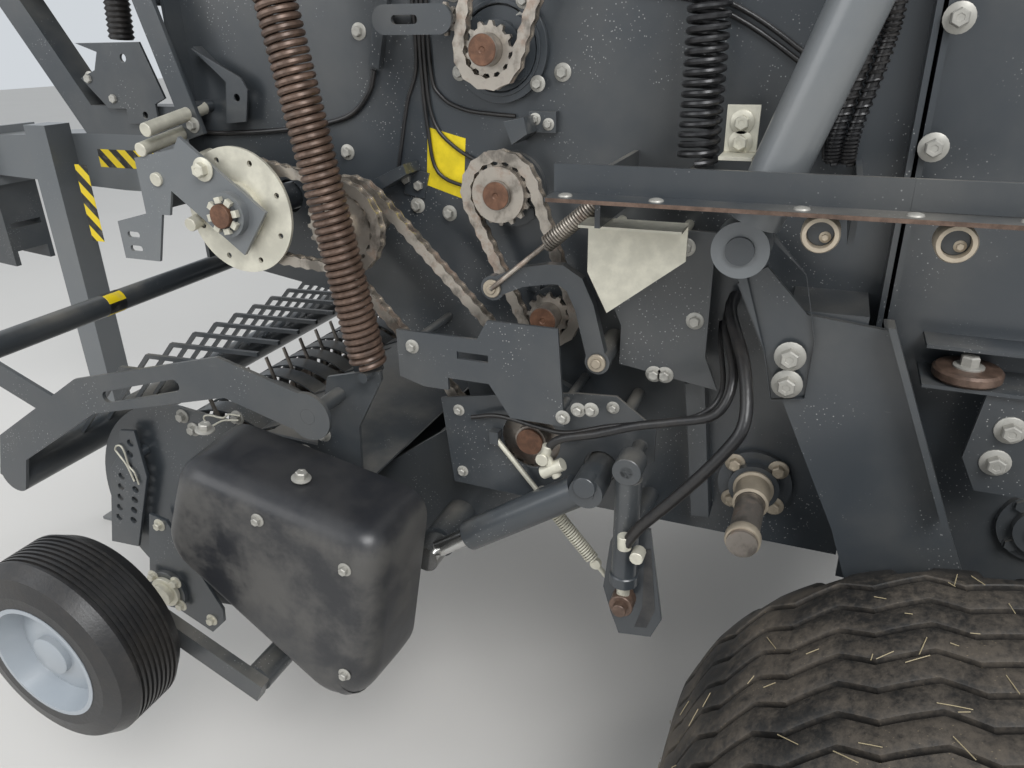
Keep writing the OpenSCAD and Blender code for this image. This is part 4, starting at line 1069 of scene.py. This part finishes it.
class BALER_OT_gauge_rims(bpy.types.Operator):
    """Adds the pale dished rims of the gauge wheels"""
    bl_idname = "baler.gauge_rims"
    bl_label = "Gauge wheel rims"

    def execute(self, context):
        # Rings: place along the axle from the inner side, radius, both in mm
        rings = [(161, 126), (166.5, 126), (166.5, 117), (120, 103.5), (136.5, 60), (136.5, 42), (148, 42),
                 (150, 38), (150, 0), (134, 0), (134, 60), (117, 104), (161, 118), (161, 126)]
        x, y, z = GAUGE_AT
        for side, sign in SIDES:
            bm = bmesh.new()
            turned(bm, scaled(rings), (sign * x, y, z), (sign, 0, 0), 48)
            bmesh.ops.remove_doubles(bm, verts=bm.verts, dist=1e-6)
            add_piece(f"gauge_rim_{side}", bm, "rim_paint", f"gauge_wheel_{side}")
        return {"FINISHED"}


class BALER_OT_straws(bpy.types.Operator):
    """Scatters bits of straw on the road tyres"""
    bl_idname = "baler.straws"
    bl_label = "Straws"

    def execute(self, context):
        chance = random.Random(7)
        reach = WHEEL_R + 0.0008
        for side, sign in SIDES:
            bm = bmesh.new()
            for _ in range(context.scene.baler_tyres.straws):
                a = chance.uniform(0.1, math.pi)
                across = sign * (WHEEL_X + chance.uniform(-0.17, 0.17))
                length = chance.uniform(0.01, 0.04)
                lean = chance.uniform(-1.4, 1.4)
                points = []
                for t in (-0.5, 0.0, 0.5):
                    turn = a + t * length * math.cos(lean) / WHEEL_R
                    points.append((across + t * length * math.sin(lean), WHEEL_AT[0] + reach * math.cos(turn),
                                   WHEEL_AT[1] + reach * math.sin(turn)))
                wire(bm, points, 0.0007, 5)
            add_piece(f"straws_{side}", bm, "straw", f"wheel_{side}")
        return {"FINISHED"}


class BALER_OT_tensioner(bpy.types.Operator):
    """Adds the tensioner's rod and spring and the zinc bracket of the black spring"""
    bl_idname = "baler.tensioner"
    bl_label = "Tensioner"

    def execute(self, context):
        bm = bmesh.new()
        rod(bm, (748, *ARM_ENDS[0]), (748, 700, 1378), 9)
        coil(bm, Vector((748, 650, 1335)) * MM, Vector((748, 735, 1408)) * MM, 0.0125, 0.0022, 22)
        pin(bm, 735, 1408, WALL, 754, 16)
        add_piece("tensioner_spring", bm, "chain_steel", "chassis")
        bm = bmesh.new()
        plate(bm, oblong(915, 962, 1486, 1552), 700, 6, [(938, 1521, 12), (938, 1500, 12)])
        plate(bm, oblong(915, 962, 1481, 1486), 700, 60, edge=0.4)
        nut(bm, 706, 938, 1528, 19)
        nut(bm, 706, 938, 1500, 19)
        add_piece("spring_bracket", bm, "galvanised", "chassis")
        return {"FINISHED"}


class BALER_OT_stage(bpy.types.Operator):
    """Sets the floor, the soft lights and the camera"""
    bl_idname = "baler.stage"
    bl_label = "Stage"

    def execute(self, context):
        sizes = context.scene.baler_stage
        bm = bmesh.new()
        half_width = 30
        bmesh.ops.create_grid(bm, x_segments=2, y_segments=2, size=half_width)
        mesh = bpy.data.meshes.new("floor")
        bm.to_mesh(mesh)
        bm.free()
        floor = bpy.data.objects.new("floor", mesh)
        context.scene.collection.objects.link(floor)
        f = Finish("pale_floor")
        cloud = f.noise(0.8, 3.0)
        tone = f.mix(cloud, tuple(sizes.floor_colour), tuple(c * 0.94 for c in sizes.floor_colour))
        mesh.materials.append(f.set(base_color=tone, roughness=0.9))

        world = bpy.data.worlds.new("soft_sky")
        context.scene.world = world
        world.use_nodes = True
        background = world.node_tree.nodes["Background"]
        background.inputs[0].default_value = (0.9, 0.95, 1.0, 1.0)
        background.inputs[1].default_value = sizes.sky_strength

        # Lamps: place, target, size, power
        for name, place, target, size, power in (
                ("key", (4.5, 3.5, 5.5), (0.6, 0.7, 1.0), 3.0, 330.0),
                ("fill", (5.0, -3.5, 4.0), (0.6, 0.0, 1.0), 4.0, 130.0),
                ("back", (-3.5, 3.0, 5.0), (0.0, 0.5, 1.0), 4.0, 120.0)):
            lamp = bpy.data.lights.new(name, "AREA")
            lamp.size = size
            lamp.energy = power
            obj = bpy.data.objects.new(name, lamp)
            obj.location = place
            obj.rotation_euler = (Vector(target) - Vector(place)).to_track_quat("-Z", "Y").to_euler()
            context.scene.collection.objects.link(obj)

        turn, dip, lean = (math.radians(angle) for angle in (CAMERA_TURN, CAMERA_DIP, CAMERA_LEAN))
        forward = Vector((-math.cos(dip) * math.cos(turn), math.cos(dip) * math.sin(turn), -math.sin(dip)))
        right = forward.cross(Vector((0, 0, 1))).normalized()
        up = right.cross(forward)
        right, up = (math.cos(lean) * right + math.sin(lean) * up,
                     math.cos(lean) * up - math.sin(lean) * right)
        camera = bpy.data.cameras.new("camera")
        camera.sensor_width = SENSOR
        camera.lens = FOCAL / PHOTO_WIDTH * SENSOR
        camera.clip_start = 0.05
        eye = bpy.data.objects.new("camera", camera)
        eye.matrix_world = Matrix((*zip(right, up, -forward, CAMERA_AT), (0, 0, 0, 1)))
        context.scene.collection.objects.link(eye)
        context.scene.camera = eye
        context.scene.view_settings.view_transform = "Standard"
        return {"FINISHED"}


class BALER_PT_panel(bpy.types.Panel):
    """Lists the baler's pieces"""
    bl_idname = "BALER_PT_panel"
    bl_label = "Round baler"
    bl_space_type = "VIEW_3D"
    bl_region_type = "UI"
    bl_category = "Baler"

    def draw(self, context):
        for group in (context.scene.baler_springs, context.scene.baler_tyres, context.scene.baler_stage):
            box = self.layout.box()
            for name in group.bl_rna.properties.keys():
                if name not in ("rna_type", "name"):
                    box.prop(group, name)
        for operator in OPERATORS:
            self.layout.operator(operator.bl_idname)


GROUPS = {"baler_springs": BalerSprings, "baler_tyres": BalerTyres, "baler_stage": BalerStage}
OPERATORS = (BALER_OT_carried_nodes, BALER_OT_springs, BALER_OT_road_tyres, BALER_OT_pickup_covers,
             BALER_OT_left_plates, BALER_OT_floor_linkage, BALER_OT_hoses, BALER_OT_fasteners,
             BALER_OT_labels, BALER_OT_pickup_fittings, BALER_OT_tailgate_fittings, BALER_OT_tensioner,
             BALER_OT_worn_ends, BALER_OT_gauge_rims, BALER_OT_straws, BALER_OT_stage)


def register():
    for name, group in GROUPS.items():
        bpy.utils.register_class(group)
        setattr(bpy.types.Scene, name, bpy.props.PointerProperty(type=group))
    for item in (*OPERATORS, BALER_PT_panel):
        bpy.utils.register_class(item)


def unregister():
    for item in reversed((*OPERATORS, BALER_PT_panel)):
        bpy.utils.unregister_class(item)
    for name, group in GROUPS.items():
        delattr(bpy.types.Scene, name)
        bpy.utils.unregister_class(group)


def main():
    register()
    bpy.ops.baler.carried_nodes()
    bpy.ops.baler.springs()
    bpy.ops.baler.road_tyres()
    bpy.ops.baler.pickup_covers()
    bpy.ops.baler.left_plates()
    bpy.ops.baler.floor_linkage()
    bpy.ops.baler.hoses()
    bpy.ops.baler.fasteners()
    bpy.ops.baler.labels()
    bpy.ops.baler.pickup_fittings()
    bpy.ops.baler.tailgate_fittings()
    bpy.ops.baler.tensioner()
    bpy.ops.baler.worn_ends()
    bpy.ops.baler.gauge_rims()
    bpy.ops.baler.straws()
    bpy.ops.baler.stage()


if __name__ == "__main__":
    main()
